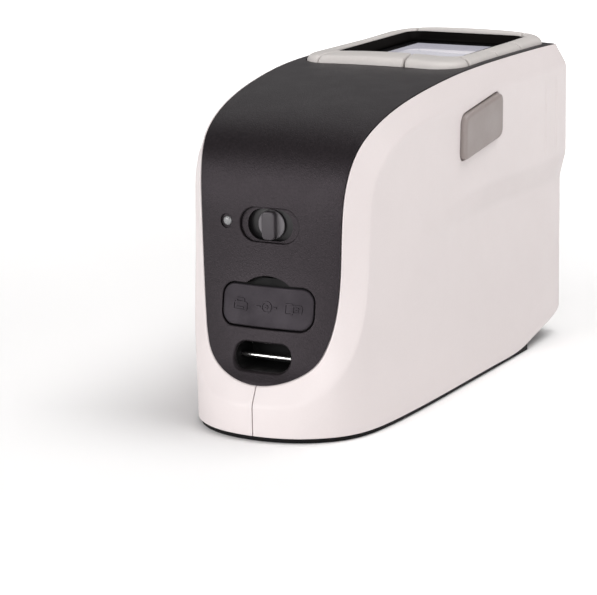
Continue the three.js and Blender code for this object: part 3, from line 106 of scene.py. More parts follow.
# A finish is a material with one shader, whose inputs get the fixed values
class Finish:
    def __init__(self, name, **fixed):
        self.material = bpy.data.materials.new(name)
        self.material.use_nodes = True
        self.tree = self.material.node_tree
        self.tree.nodes.clear()
        self.shader = self.tree.nodes.new("ShaderNodeBsdfPrincipled")
        output = self.tree.nodes.new("ShaderNodeOutputMaterial")
        self.tree.links.new(self.shader.outputs[0], output.inputs[0])
        for socket, value in fixed.items():
            self.shader.inputs[socket.replace("_", " ")].default_value = value

    # Any node: its settings first, then the values or wires of its inputs
    def node(self, kind, settings=None, inputs=None, out=0):
        made = self.tree.nodes.new(kind)
        for key, value in (settings or {}).items():
            if key == "stops":
                ramp = made.color_ramp.elements
                while len(ramp) < len(value):
                    ramp.new(0.5)
                for element, (spot, colour) in zip(ramp, value):
                    element.position, element.color = spot, colour
            else:
                setattr(made, key, value)
        for key, value in (inputs or {}).items():
            if isinstance(value, Wire):
                self.tree.links.new(value.socket, made.inputs[key])
            else:
                made.inputs[key].default_value = value
        return Wire(self, made.outputs[out])

    # A spot in the object's own coordinates, and one of its three numbers
    def place(self):
        return self.node("ShaderNodeTexCoord", out=3)

    # The grain is in millimetres
    def noise(self, grain, detail=2.0, where=None, rough=0.5):
        where = where or self.place()
        values = {"Vector": where, "Scale": 1 / (grain * mm), "Detail": detail, "Roughness": rough}
        return self.node("ShaderNodeTexNoise", inputs=values)

    def axis(self, name):
        return self.node("ShaderNodeSeparateXYZ", inputs={0: self.place()}, out="XYZ".index(name))

    # A soft step from start to end while the wire goes from low to high
    def ramp(self, wire, low, high, start=0.0, end=1.0):
        limits = {0: wire, 1: low, 2: high, 3: start, 4: end}
        return self.node("ShaderNodeMapRange", {"clamp": True, "interpolation_type": "SMOOTHSTEP"}, limits)

    # The first colour where the factor is 0, the second where it is 1
    def blend(self, factor, first, second):
        values = {0: factor, 6: first, 7: second}
        return self.node("ShaderNodeMix", {"data_type": "RGBA"}, values, out=2)

    # Leads a wire to one of the shader's inputs
    def feed(self, socket, wire):
        self.tree.links.new(wire.socket, self.shader.inputs[socket])
        return self

    # Leads a height to the shader's normal, with its full depth in millimetres
    def bump(self, height, strength, depth):
        values = {"Strength": strength, "Distance": depth * mm, "Height": height}
        return self.feed("Normal", self.node("ShaderNodeBump", inputs=values))


# A colour, lighter or darker by a share
def tone(red, green, blue, share=1.0):
    return (red * share, green * share, blue * share, 1.0)


# Grains in millimetres: the broad clouds of tone and the patches of roughness. The flecks' grain
# is a multiple of the bump's.
plastic = {"clouds": 26, "patches": 9, "flecks": 1.6}


# Moulded plastic: two close tones in broad clouds and fine flecks, roughness that wanders a
# little, and a fine spark-eroded grain in the bump
def mouldedPlastic(name, colour, rough, grain, strength, change=0.05, wander=0.06, flecks=0.3,
                   depth=0.05, **fixed):
    made = Finish(name, **fixed)
    clouds = made.noise(plastic["clouds"], 3)
    speck = made.noise(grain * plastic["flecks"], 2)
    mixed = made.ramp(clouds * (1 - flecks) + speck * flecks, 0.35, 0.65)
    made.feed("Base Color", made.blend(mixed, tone(*colour, 1 - change), tone(*colour, 1 + change)))
    patches = made.noise(plastic["patches"], 3)
    made.feed("Roughness", made.ramp(patches, 0.3, 0.7, rough - wander, rough + wander))
    return made.bump(made.noise(grain, 3, rough=0.6), strength, depth)


# Each with its colour, roughness, grain in millimetres and strength of the grain
looks = {
    "shell": mouldedPlastic("warmWhiteShell", (0.672, 0.616, 0.612), 0.46, 0.45, 0.10,
                            change=0.012, wander=0.04),
    "cover": mouldedPlastic("charcoalCover", (0.0080, 0.0064, 0.0072), 0.42, 0.5, 0.9,
                            change=0.3, wander=0.02, flecks=0.7, depth=0.13,
                            Specular_IOR_Level=0.28, Specular_Tint=(1.0, 0.88, 0.97, 1.0)),
    "frame": mouldedPlastic("frameBlack", (0.0042, 0.0036, 0.0034), 0.5, 0.5, 0.12,
                            change=0.2, wander=0.05, Specular_IOR_Level=0.1, IOR=1.2),
    "base": mouldedPlastic("blackBase", (0.006, 0.0058, 0.006), 0.55, 0.6, 0.3,
                           change=0.12, Specular_IOR_Level=0.12),
    "key": mouldedPlastic("greyKey", (0.54, 0.512, 0.495), 0.46, 0.7, 0.08,
                          change=0.03, Specular_IOR_Level=0.3),
    "button": mouldedPlastic("greyButton", (0.265, 0.228, 0.217), 0.42, 0.6, 0.10, change=0.03),
    "rubber": mouldedPlastic("flapRubber", (0.0175, 0.0150, 0.0178), 0.5, 0.5, 0.2,
                             change=0.16, wander=0.09,
                             Specular_IOR_Level=0.22, Specular_Tint=(1.0, 0.9, 1.0, 1.0)),
    "mat": mouldedPlastic("keyMatRubber", (0.2, 0.2, 0.2), 0.7, 0.5, 0.25),
    "chassis": mouldedPlastic("chassisGrey", (0.09, 0.09, 0.1), 0.55, 0.5, 0.25),
    "sleeve": mouldedPlastic("batterySleeve", (0.03, 0.08, 0.24), 0.32, 1.5, 0.1),
    "coating": mouldedPlastic("whiteCoating", (0.88, 0.88, 0.86), 0.92, 0.25, 0.3, change=0.01),
}


# Metal: brushed along one axis, so the noise is stretched that way, in tone and roughness
def brushedMetal(name, colour, rough, stretch):
    made = Finish(name, Metallic=1.0)
    where = made.node("ShaderNodeMapping", inputs={"Vector": made.place(), "Scale": stretch})
    lines = made.noise(0.3, 3, where)
    made.feed("Base Color", made.blend(lines, tone(*colour, 0.86), tone(*colour, 1.08)))
    made.feed("Roughness", made.ramp(lines, 0.3, 0.7, rough * 0.75, rough * 1.3))
    return made.bump(lines, 0.05, 0.02)


# Circuit board: solder mask over darker copper lanes, with a fine weave in the bump
def circuitBoard():
    made = Finish("circuitBoard", Coat_Weight=0.3)
    lanes = {"Vector": made.place(), "Scale": 160, "Mortar Size": 0.03,
             "Color1": tone(0.012, 0.11, 0.045), "Color2": tone(0.016, 0.14, 0.055),
             "Mortar": tone(0.006, 0.06, 0.03)}
    made.feed("Base Color", made.node("ShaderNodeTexBrick", {"offset": 0.5}, lanes))
    made.feed("Roughness", made.ramp(made.noise(3, 2), 0.3, 0.7, 0.32, 0.5))
    return made.bump(made.noise(0.4, 2), 0.15, 0.02)


# The window: black printed border, and inside it the pale idle screen with its faint cell rows, which also
# glows a little: a painted glow, though it is no lamp
def screenWindow(size):
    made = Finish("paleScreen", Coat_Weight=0.9, Coat_Roughness=0.04, Emission_Strength=size["glow"])
    x, y = made.axis("X"), made.axis("Y")
    across = made.node("ShaderNodeMath", {"operation": "ABSOLUTE"}, {0: x}) < size["halfWidth"] * mm
    inside = across * (y > size["near"] * mm) * (y < size["far"] * mm)
    fade = made.ramp(y, size["near"] * mm, size["far"] * mm)
    rows = made.node("ShaderNodeTexWave", {"wave_type": "BANDS", "bands_direction": "Y"},
                     {"Vector": made.place(), "Scale": size["rows"], "Distortion": 0.0})
    pale = made.blend(fade, tone(0.70, 0.685, 0.76), tone(0.62, 0.61, 0.69))
    pale = made.blend(rows * 0.08, pale, tone(0.5, 0.5, 0.56))
    made.feed("Base Color", made.blend(inside, tone(0.006, 0.006, 0.007), pale))
    made.feed("Roughness", made.ramp(made.noise(12, 2), 0.3, 0.7, 0.12, 0.2))
    # Painted light: the screen's inside glows in its pale tone
    made.feed("Emission Color", made.blend(inside, tone(0, 0, 0), tone(0.62, 0.61, 0.70)))
    return made.bump(made.noise(0.8, 2), 0.02, 0.01)


# The lamp: smoky lens, in two tones mixed by a fine noise
def lampGlass():
    made = Finish("lampLens", Coat_Weight=0.35, Coat_Roughness=0.12)
    shades = made.blend(made.noise(0.9, 2), tone(0.12, 0.12, 0.125), tone(0.26, 0.26, 0.265))
    made.feed("Base Color", shades)
    made.feed("Roughness", made.ramp(made.noise(0.5, 2), 0.3, 0.7, 0.16, 0.3))
    return made.bump(made.noise(0.3, 1), 0.15, 0.02)


# The slider: its plate is black, its disc is painted a light grey that stands in for the light falling on it,
# a painted highlight, and its rib's tone lies between
def paintedLightSlider(plateEnd, discEnd):
    made = Finish("sliderBlack", Specular_IOR_Level=0.3)
    depth = made.axis("Y") + made.noise(1.2, 2) * 0.3 * mm
    onDisc = made.ramp(depth, (plateEnd - 0.5) * mm, plateEnd * mm, 1.0, 0.0)
    onRib = made.ramp(depth, (discEnd - 0.5) * mm, discEnd * mm, 1.0, 0.0)
    # Painted light: the disc's face gets a light grey for the light on it, the rib a darker grey, the plate
    # stays black
    shown = made.blend(onDisc, tone(0.008, 0.0075, 0.008), tone(0.13, 0.122, 0.13))
    made.feed("Base Color", made.blend(onRib, shown, tone(0.045, 0.04, 0.045)))
    made.feed("Roughness", made.ramp(made.noise(2, 2), 0.3, 0.7, 0.3, 0.42))
    return made.bump(made.noise(0.5, 2), 0.1, 0.02)


# glow is the strength of the idle screen's painted glow
screen = {"halfWidth": 16.5, "near": 23.0, "far": 69.5, "glow": 0.5, "rows": 900.0}
# The depths where the slider's painted light changes: disc painted light, rib darker, plate black
sliderPaintedLight = {"plateEnd": -74.5, "discEnd": -75.4}  # the depths where the slider's tones change
looks["screen"] = screenWindow(screen)
looks["lamp"] = lampGlass()
looks["steel"] = brushedMetal("brightSteel", (0.72, 0.71, 0.70), 0.22, (1, 14, 14))
looks["aluminium"] = brushedMetal("satinAluminium", (0.56, 0.57, 0.58), 0.36, (1, 12, 1))
looks["slider"] = paintedLightSlider(sliderPaintedLight["plateEnd"], sliderPaintedLight["discEnd"])
looks["board"] = circuitBoard()
print("materials made:", len(looks))


# Solids are vertices in millimetres and faces, kept apart until the piece is finished. A tube
# has faces between neighbouring loops of a stack of closed loops, and a flat face on either end
# unless its last loop joins its first. A negative volume means that its faces look inwards.
def tube(loops, capped=True, ring=False):
    count, points = loops.shape[:2]
    index = np.arange(count * points).reshape(count, points)
    here, after = (index, np.roll(index, -1, axis=0)) if ring else (index[:-1], index[1:])
    corners = [here, np.roll(here, -1, axis=1), np.roll(after, -1, axis=1), after]
    quads = np.stack(corners, -1).reshape(-1, 4)
    faces = quads.tolist()
    vertices = loops.reshape(-1, 3)
    a, b, c, d = (vertices[quads[:, k]] for k in range(4))
    volume = (a * (np.cross(b, c) + np.cross(c, d))).sum()
    if capped and not ring:
        for cap in (index[0][::-1], index[-1]):
            fan = vertices[cap]
            faces.append(cap.tolist())
            volume += (fan[0] * np.cross(fan[1:-1], fan[2:])).sum()
    if volume < 0:
        faces = [face[::-1] for face in faces]
    return vertices, faces


# Several solids as one, each one's faces counted on from the vertices before it
def joined(*solids):
    vertices, faces, start = [], [], 0
    for spots, sides in solids:
        vertices.append(spots)
        faces += [[corner + start for corner in side] for side in sides]
        start += len(spots)
    return np.concatenate(vertices), faces


weld = {"new": 2e-6, "carved": 1e-6}  # vertices nearer than this, in metres, are merged


# Merges vertices that lie on each other and takes out faces without an area
def cleaned(mesh, dist):
    work = bmesh.new()
    work.from_mesh(mesh)
    bmesh.ops.remove_doubles(work, verts=work.verts, dist=dist)
    bmesh.ops.dissolve_degenerate(work, edges=work.edges, dist=dist / 2)
    work.to_mesh(mesh)
    work.free()


# An object in the scene from a solid's vertices and faces
def meshObject(name, solid):
    vertices, faces = solid
    mesh = bpy.data.meshes.new(name)
    mesh.from_pydata((vertices * mm).tolist(), [], faces)
    cleaned(mesh, weld["new"])
    made = bpy.data.objects.new(name, mesh)
    bpy.context.scene.collection.objects.link(made)
    return made


# Takes each cutter out of an object, and throws the cutters away
def carve(made, cutters):
    tools = [meshObject("cutter", cutter) for cutter in cutters]
    for tool in tools:
        step = made.modifiers.new("carve", "BOOLEAN")
        step.operation, step.object, step.solver = "DIFFERENCE", tool, "MANIFOLD"
    graph = bpy.context.evaluated_depsgraph_get()
    carved = bpy.data.meshes.new_from_object(made.evaluated_get(graph), depsgraph=graph)
    made.modifiers.clear()
    cleaned(carved, weld["carved"])
    made.data = carved
    for tool in tools:
        bpy.data.objects.remove(tool)
    return made


# Gives a piece its look, its body and the nodes it stands for
def finished(made, look, body, *nodes, slot, crisp=32):
    made.data.materials.clear()
    made.data.materials.append(looks[look].material)
    made.data.polygons.foreach_set("use_smooth", [True] * len(made.data.polygons))
    made.data.set_sharp_from_angle(angle=np.radians(crisp))
    made.data.update()
    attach(made, body)
    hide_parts(*nodes)
    return made


# A rounded box walked anticlockwise: quarter circles joined by straight runs of even points
def roundedBox(left, right, low, high, radius, steps=10, runs=10):
    turn = np.linspace(0, np.pi / 2, steps + 1)
    middles = [(right - radius, high - radius), (left + radius, high - radius),
               (left + radius, low + radius), (right - radius, low + radius)]
    arcs = [np.stack([x + radius * np.cos(turn + quarter * np.pi / 2),
                      y + radius * np.sin(turn + quarter * np.pi / 2)], -1)
            for quarter, (x, y) in enumerate(middles)]
    share = np.linspace(0, 1, runs + 1)[1:-1, None]
    runsAfter = [arcs[k][-1] + (arcs[(k + 1) % 4][0] - arcs[k][-1]) * share for k in range(4)]
    return np.concatenate([part for pair in zip(arcs, runsAfter) for part in pair])


# A circle walked anticlockwise in even steps
def circle(radius, x=0.0, y=0.0, steps=64):
    turn = np.linspace(0, 2 * np.pi, steps, endpoint=False)
    return np.stack([x + radius * np.cos(turn), y + radius * np.sin(turn)], -1)


# A circle's outline that grows by a margin
def roundOutline(radius, x=0.0, y=0.0, steps=48):
    return lambda margin: circle(radius + margin, x, y, steps)


# The outline of a rounded box that is the same on both sides of x = 0 and grows by a margin
def boxOutline(half, low, high, corner, steps, runs):
    return lambda margin: roundedBox(-half - margin, half + margin, low - margin, high + margin,
                                     corner + margin, steps, runs)


mostOfSide = 0.45  # a cut takes at most this share of a side


# Rounds the corners of closed loops: a corner becomes the parabola that starts and ends a cut's
# length along its two sides, and each side after it gets its own number of even points
def roundedLoops(corners, cuts, steps, between):
    ahead, behind = np.roll(corners, -1, axis=1), np.roll(corners, 1, axis=1)
    cuts = np.asarray(cuts, float)[None, :]

    def along(other):
        way = other - corners
        length = np.maximum(np.linalg.norm(way, axis=2), 1e-9)
        return corners + way * np.minimum(cuts / length, mostOfSide)[..., None]

    enter, leave = along(behind), along(ahead)
    share = np.linspace(0, 1, steps + 1)[None, :, None]
    parts = []
    for k in range(corners.shape[1]):
        first, turn, last = enter[:, k, None], corners[:, k, None], leave[:, k, None]
        parts.append((1 - share) ** 2 * first + 2 * share * (1 - share) * turn + share ** 2 * last)
        gap = np.linspace(0, 1, between[k] + 2)[None, 1:-1, None]
        parts.append(last + (enter[:, (k + 1) % corners.shape[1], None] - last) * gap)
    return np.concatenate(parts, axis=1)


# A solid from a stack of outlines. A level is a margin, a height and at times a share: the
# outline grown by the margin, and drawn in towards its middle by the share, at that height.
# The function place turns an outline and its height into spots.
def stack(outlineAt, levels, place, ring=False):
    loops = []
    for margin, height, *share in levels:
        outline = outlineAt(margin)
        if share:
            middle = (outline.min(axis=0) + outline.max(axis=0)) / 2
            outline = middle + (outline - middle) * share[0]
        u, v = outline.T
        loops.append(place(u, v, height + 0 * u))
    return tube(np.array(loops), ring=ring)


# Three ways to place an outline: flat, on a plane that faces the front, on one that faces a side
def upright(u, v, h):
    return np.stack([u, v, h], -1)


def facing(u, v, h):
    return np.stack([u, h, v], -1)


def sideways(u, v, h):
    return np.stack([h, u, v], -1)


# The rounded edge of a solid, from its side to its face: margins and depths of a quarter circle
def edgeOf(radius, steps=5):
    turn = np.linspace(0, np.pi / 2, steps)
    return list(zip(-radius * (1 - np.cos(turn)), radius * (1 - np.sin(turn))))


# The rounded lip of a hole, from the face down to its wall
def lipOf(gap, radius, steps=5):
    turn = np.linspace(0, np.pi / 2, steps)
    return list(zip(gap + radius * (1 - np.sin(turn)), radius * (1 - np.cos(turn))))


# The case: a loft between guide lines, which are the solid's own, sampled finely. Their knots
# are shares of the half width, the half length and the height. The finger recess starts and is
# full at two shares t of the lines. Its own two lines are shares of the height, and in front of
# it they are shares of the way from crease to foot. The way into the cover aims at the middle
# line between tipAim and farAim.
case = {
    "halfWidth": 36.5, "halfLength": 90.5, "height": 110.0,
    "wall": 2.2, "seam": 0.2, "coverGap": 0.42, "bell": 0.42,
    "recessStart": 0.47, "recessFull": 0.66, "recessTop": 0.624, "recessFoot": 0.54,
    "recessDip": 0.09, "frontTop": 0.35, "frontFoot": 0.5, "tipAim": 0.2, "farAim": 0.85,
    "coverEdge": [
        (0, -.969, .155), (.208, -.961, .166), (.397, -.934, .19), (.537, -.906, .226), (.611, -.882, .278),
        (.663, -.854, .355), (.696, -.839, .473), (.704, -.836, .6), (.723, -.827, .727), (.759, -.786, .821),
        (.797, -.712, .882), (.844, -.506, .945), (.896, -.197, .981), (.918, .028, .995), (.918, .442, .996),
        (.918, .745, .992), (.918, .862, .989), (.885, .923, .984), (.808, .957, .98), (.685, .967, .979)],
    "crease": [
        (0, -1, .109), (.219, -.993, .104), (.425, -.966, .115), (.614, -.919, .151), (.74, -.869, .202),
        (.842, -.804, .305), (.876, -.766, .482), (.88, -.754, .627), (.893, -.743, .736), (.926, -.68, .808),
        (.948, -.586, .853), (.975, -.42, .889), (.995, -.16, .906), (1, .088, .914), (1, .442, .917),
        (1, .74, .916), (1, .884, .915), (.975, .952, .915), (.893, .988, .915), (.767, 1, .915)],
    "foot": [
        (0, -1, .015), (.219, -.991, .015), (.433, -.965, .015), (.616, -.917, .015), (.756, -.857, .015),
        (.849, -.779, .015), (.901, -.663, .015), (.921, -.53, .015), (.932, -.42, .015), (.937, -.309, .015),
        (.94, -.199, .015), (.94, -.055, .015), (.94, .133, .015), (.94, .309, .015), (.94, .53, .015),
        (.94, .663, .04), (.94, .862, .071), (.912, .952, .094), (.833, .988, .101), (.712, 1, .104)],
    "coverMiddle": [
        (0, -.969, .155), (0, -.964, .166), (0, -.947, .19), (0, -.928, .226), (0, -.909, .278),
        (0, -.884, .355), (0, -.86, .473), (0, -.852, .6), (0, -.84, .73), (0, -.798, .827),
        (0, -.723, .89), (0, -.514, .953), (0, -.201, .988), (0, .027, 1), (0, .442, 1),
        (0, .745, .998), (0, .862, .995), (0, .923, .991), (0, .957, .987), (0, .967, .985)],
}
caseHalf = np.array([case["halfWidth"], case["halfLength"], case["height"] / 2])
lineSteps = 1900  # pieces of a sampled guide line
lineGrid = np.linspace(0, 1, lineSteps + 1)


# A guide line: a cubic through the knots whose slopes weigh the neighbours by the square roots
# of their distances, then averaged along itself under a bell-shaped weight
def guideLine(shares):
    knots = np.array(shares) * [case["halfWidth"], case["halfLength"], case["height"]]
    padded = np.vstack([2 * knots[0] - knots[1], knots, 2 * knots[-1] - knots[-2]])
    spot = lineGrid * (len(knots) - 1)
    index = np.minimum(spot.astype(int), len(knots) - 2)
    share = (spot - index)[:, None]
    p0, p1, p2, p3 = (padded[index + k] for k in range(4))
    d0, d1, d2 = (np.sqrt(np.linalg.norm(b - a, axis=1))[:, None] for a, b in ((p0, p1), (p1, p2), (p2, p3)))
    first = ((p1 - p0) / d0 - (p2 - p0) / (d0 + d1) + (p2 - p1) / d1) * d1
    last = ((p2 - p1) / d1 - (p3 - p1) / (d1 + d2) + (p3 - p2) / d2) * d1
    line = (p1 + first * share + (3 * (p2 - p1) - 2 * first - last) * share ** 2
            + (2 * (p1 - p2) + first + last) * share ** 3)
    width = case["bell"] * lineSteps / (len(knots) - 1)
    reach = int(3 * width)
    mirrored = line[reach:0:-1] * [-1, 1, 1]
    onward = 2 * line[-1] - line[-2:-reach - 2:-1]
    longer = np.vstack([mirrored, line, onward])
    weight = np.exp(-0.5 * (np.arange(-reach, reach + 1) / width) ** 2)
    weight /= weight.sum()
    return np.stack([np.convolve(longer[:, k], weight, "valid") for k in range(3)], -1)


coverEdge = guideLine(case["coverEdge"])
crease = guideLine(case["crease"])
footLine = guideLine(case["foot"])
coverMiddle = guideLine(case["coverMiddle"])


# The spot on a guide line at each share t of its length in knots
def lineAt(line, t):
    return np.stack([np.interp(t, lineGrid, line[:, k]) for k in range(3)], -1)


# The way a guide line goes at t: the difference of its neighbours there, made one long
def tangentAt(line, t):
    way = lineAt(np.gradient(line, axis=0), t)
    return way / np.linalg.norm(way, axis=-1, keepdims=True)


# A soft step from 0 to 1 between low and high: share squared times three less twice the share
def smooth(value, low=0.0, high=1.0):
    share = np.clip((value - low) / (high - low), 0, 1)
    return share * share * (3 - 2 * share)


# The skin a depth further in: every spot shrinks towards the middle of the case
def inset(points, depth):
    centre = np.array([0, 0, case["height"] / 2])
    return centre + (points - centre) * (1 - depth / caseHalf)


# The way from the cover's edge into the cover, square to the edge
def coverInward(t):
    way = lineAt(coverMiddle, np.clip(t, case["tipAim"], case["farAim"])) - lineAt(coverEdge, t)
    along = tangentAt(coverEdge, t)
    way = way - along * (way * along).sum(-1, keepdims=True)
    return way / np.linalg.norm(way, axis=-1, keepdims=True)


# The cover at share s of its width: x runs straight, y and z rise by a parabola to the middle line
def coverPoint(t, s, gap=0.0):
    shift = coverInward(t) * gap
    edge, middle = lineAt(coverEdge, t) + shift, lineAt(coverMiddle, t) + shift * [0, 1, 1]
    rise = (middle - edge)[..., 1:] * (1 - s * s)[..., None]
    return np.concatenate([edge[..., :1] * s[..., None], edge[..., 1:] + rise], -1)


# The front's last share t, the steps up to it, the least half width that the search for a spot
# takes for the cover, and the search's rounds
front = {"end": 0.62, "steps": 1200, "narrowest": 6.0, "rounds": 5}
frontGrid = np.linspace(0, front["end"], front["steps"])
frontEdge, frontMiddle = lineAt(coverEdge, frontGrid), lineAt(coverMiddle, frontGrid)


# The cover's front as a depth: y at a given x and z, from the station where the crown has that z
def frontSurface(x, z):
    share = np.zeros_like(x)
    for _ in range(front["rounds"]):
        tEdge = np.interp(z, frontEdge[:, 2], frontGrid)
        tMiddle = np.interp(z, frontMiddle[:, 2], frontGrid)
        t = tMiddle + (tEdge - tMiddle) * share ** 2
        share = x / np.maximum(np.interp(t, frontGrid, frontEdge[:, 0]), front["narrowest"])
    yEdge, yMiddle = (np.interp(t, frontGrid, line[:, 1]) for line in (frontEdge, frontMiddle))
    return yEdge + (yMiddle - yEdge) * (1 - share ** 2)


# A fourth way to place an outline: on the cover's front, the height counted inwards from it
def onFront(u, v, h):
    return np.stack([u, frontSurface(u, v) + h, v], -1)


# The floor of a blind hole: one outline at one depth, drawn in step by step
def insideLevels(margin, depth, shares=(0.85, 0.7, 0.55, 0.4, 0.25, 0.1, 0.02)):
    return [(margin, depth, share) for share in shares]


cutting = {"start": -4.0, "through": 9.0}  # from outside the front to behind the cover's wall


# A hole or a recess in the front: its lip's margins and depths, then straight to its depth
def frontCut(outlineAt, lip, depth, blind=False):
    widest, gap = lip[0][0], lip[-1][0]
    levels = [(widest, cutting["start"])] + lip + [(gap, depth)]
    if blind:
        levels += insideLevels(gap, depth)
    return stack(outlineAt, levels, onFront)


# The white shells. A section has ten corners, each with its cut and the number of points after
# it. Two grip ribs stand on the side, only where it lies beyond ribFrom.
shell = {
    "stations": 330, "ribStations": (0.76, 0.86, 110), "farSteps": 14, "cornerSteps": 7,
    "cuts": [0.26, 1.2, 1.2, 1.6, 0.5, 0.3, 2, 2, 1.4, 0.26],
    "between": [5, 22, 6, 12, 1, 4, 2, 4, 2, 1],
    "ribs": [65.0, 74.4], "ribHalf": 1.2, "ribSlope": 0.4, "ribLow": 70.9, "ribHigh": 97.4,
    "ribEnd": 1.6, "ribProud": 0.3, "ribFrom": 35.4,
}


# The side's section at each station: cover edge, crease, the finger recess's two lines, foot
def sideSection(t):
    top, middle, bottom = lineAt(coverEdge, t), lineAt(crease, t), lineAt(footLine, t)
    amount = smooth(t, case["recessStart"], case["recessFull"])
    dip = case["recessDip"] * (1 - amount)
    drop = middle[:, 2] - bottom[:, 2]

    def lineOf(front, share):
        full = (middle[:, 2] - (share - dip) * case["height"]) / drop
        mixed = front + (full - front) * amount
        return middle + (bottom - middle) * mixed[:, None]

    upper = lineOf(case["frontTop"], case["recessTop"])
    lower = lineOf(case["frontFoot"], case["recessFoot"])
    upper[:, 0] += (middle[:, 0] - upper[:, 0]) * amount
    lower[:, 0] += (bottom[:, 0] - lower[:, 0]) * amount
    return np.stack([top, middle, upper, lower, bottom], 1)


# The right shell: the side's sections, then the far wall as the last section drawn in to the
# seam, then the same skin a wall further in, all with their corners rounded, and the ribs
def shellSolid():
    plain, fine = np.linspace(0, 1, shell["stations"]), np.linspace(*shell["ribStations"])
    outer = sideSection(np.unique(np.concatenate([plain, fine])))
    share = np.linspace(1, 0, shell["farSteps"] + 1)[1:]
    far = outer[-1][None] * np.stack([share, share * 0 + 1, share * 0 + 1], -1)[:, None]
    far[:, 0] = coverPoint(np.ones_like(share), share)
    outer = np.concatenate([outer, far])
    inner = inset(outer, case["wall"])
    inner[:, -1, 2] = outer[:, -1, 2]
    corners = np.concatenate([outer, inner[:, ::-1]], 1)
    corners[..., 0] = np.maximum(corners[..., 0], case["seam"])
    loops = roundedLoops(corners, shell["cuts"], shell["cornerSteps"], shell["between"])
    y, z = loops[..., 1], loops[..., 2]
    half, slope = shell["ribHalf"], shell["ribSlope"]
    ridges = sum(smooth(half - np.abs(y - middle), 0, slope) for middle in shell["ribs"])
    low, high, end = shell["ribLow"], shell["ribHigh"], shell["ribEnd"]
    ridges = ridges * smooth(z, low, low + end) * smooth(-z, -high, -high + end)
    loops[..., 0] += np.where(loops[..., 0] > shell["ribFrom"], shell["ribProud"] * ridges, 0)
    return tube(loops)


# The measure button, and its hole: gap and lip, and how far the cutter reaches out and in
button = {
    "outline": [(-9.0, 80.2), (22.6, 84.3), (23.0, 99.6), (-8.2, 95.4)], "corner": 3.4,
    "back": 33.0, "flange": 34.0, "flangeWidth": 1.0, "face": 38.5, "round": 1.35,
    "crown": 0.15, "crownShares": (0.94, 0.85, 0.72, 0.58, 0.42, 0.25, 0.1, 0.01),
    "gap": 0.5, "holeLip": 0.3, "holeReach": (5, 8),
}


# The button's outline: four corners rounded off, moved out along its own normals by a margin
def buttonOutline(margin):
    corners = np.array([[(y, z, 0.0) for y, z in button["outline"]]])
    outline = roundedLoops(corners, [button["corner"]] * 4, 12, [12] * 4)[0, :, :2]
    way = np.roll(outline, -1, axis=0) - np.roll(outline, 1, axis=0)
    normal = np.stack([way[:, 1], -way[:, 0]], -1) / np.linalg.norm(way, axis=1)[:, None]
    return outline + normal * margin


# The mirror of a solid, with its faces turned round so that they still look outwards
def mirroredX(solid):
    vertices, faces = solid
    return vertices * [-1, 1, 1], [face[::-1] for face in faces]


rightSolid = shellSolid()
rightShell = meshObject("rightShell", rightSolid)
sideFace = case["halfWidth"]
gap, lip = button["gap"], button["holeLip"]
holeLevels = [(gap + lip, sideFace + button["holeReach"][0])]
holeLevels += [(margin, sideFace - down) for margin, down in lipOf(gap, lip)]
holeLevels.append((gap, sideFace - button["holeReach"][1]))
carve(rightShell, [stack(buttonOutline, holeLevels, sideways)])
leftShell = meshObject("leftShell", mirroredX(rightSolid))
finished(rightShell, "shell", "case", "right_shell", slot="white_shell")
finished(leftShell, "shell", "case", "left_shell", slot="white_shell")
print("shells made")

face = button["face"] - button["crown"]
buttonLevels = [(button["flangeWidth"], button["back"]), (button["flangeWidth"], button["flange"])]
buttonLevels += [(0.0, button["flange"])]
buttonLevels += [(margin, face - down) for margin, down in edgeOf(button["round"], 8)]
buttonLevels += [(-button["round"], face + button["crown"] * (1 - share ** 2), share)
                 for share in button["crownShares"]]
measureButton = meshObject("measureButton", stack(buttonOutline, buttonLevels, sideways))
finished(measureButton, "button", "button", "measure_button", slot="button_grey")

# The black centre cover, and what is cut into it. Its edge is rounded over edge, of which the
# width gives up edgeShare. The notch's circle is widened past its ends and overlaps the flap.
cover = {"stations": 330, "first": 0.004, "columns": 60, "edge": 0.22, "edgeShare": 0.9,
         "narrowest": 1.0, "ringGap": 0.3, "ringCut": (96.0, 116.0)}
flap = {"halfWidth": 16.5, "low": 35.4, "high": 48.6, "corner": 4.36, "gap": 0.42, "lip": 0.3,
        "edge": 0.5, "back": [(-0.7, 2.0), (-0.35, 1.2)],
        "shares": (0.96, 0.9, 0.8, 0.68, 0.55, 0.42, 0.28, 0.14, 0.02)}
notch = {"halfWidth": 8.5, "rise": 3.2, "depth": 1.9, "widen": 1.06, "overlap": 1.2,
         "lip": [(0.2, 0.0), (0.06, 0.06), (0.0, 0.2)]}
strap = {"halfWidth": 10.2, "low": 21.9, "high": 30.6, "corner": 4.0,
         "rim": [(0.6, 0.0), (0.44, 0.08), (0.08, 0.4), (0.0, 0.58)]}
switch = {"height": 68.2, "halfWidth": 10.7, "halfHeight": 5.5, "depth": 1.1, "lip": 0.4,
          "slotHalfWidth": 8.2, "slotHalfHeight": 5.1, "slotLip": 0.2}
lamp = {"x": -15.7, "z": 68.5, "radius": 1.5, "ring": 2.3, "depth": 0.7, "lip": 0.2, "gap": 0.12,
        "back": -66.6, "sunk": 0.75, "dome": 0.6, "turns": (0.15, 1.5, 9)}
ring = {"halfWidth": 30.2, "near": -0.4, "far": 84.1, "corner": 11.0,
        "innerHalfWidth": 23.9, "innerNear": 14.6, "innerFar": 78.6, "innerCorner": 6.5,
        "top": 112.7, "drop": 1.2, "foot": 105.9}
flapOutline = boxOutline(flap["halfWidth"], flap["low"], flap["high"], flap["corner"], 14, 16)
strapOutline = boxOutline(strap["halfWidth"], strap["low"], strap["high"], strap["corner"], 14, 12)
ringOutline = boxOutline(ring["halfWidth"], ring["near"], ring["far"], ring["corner"], 16, 16)


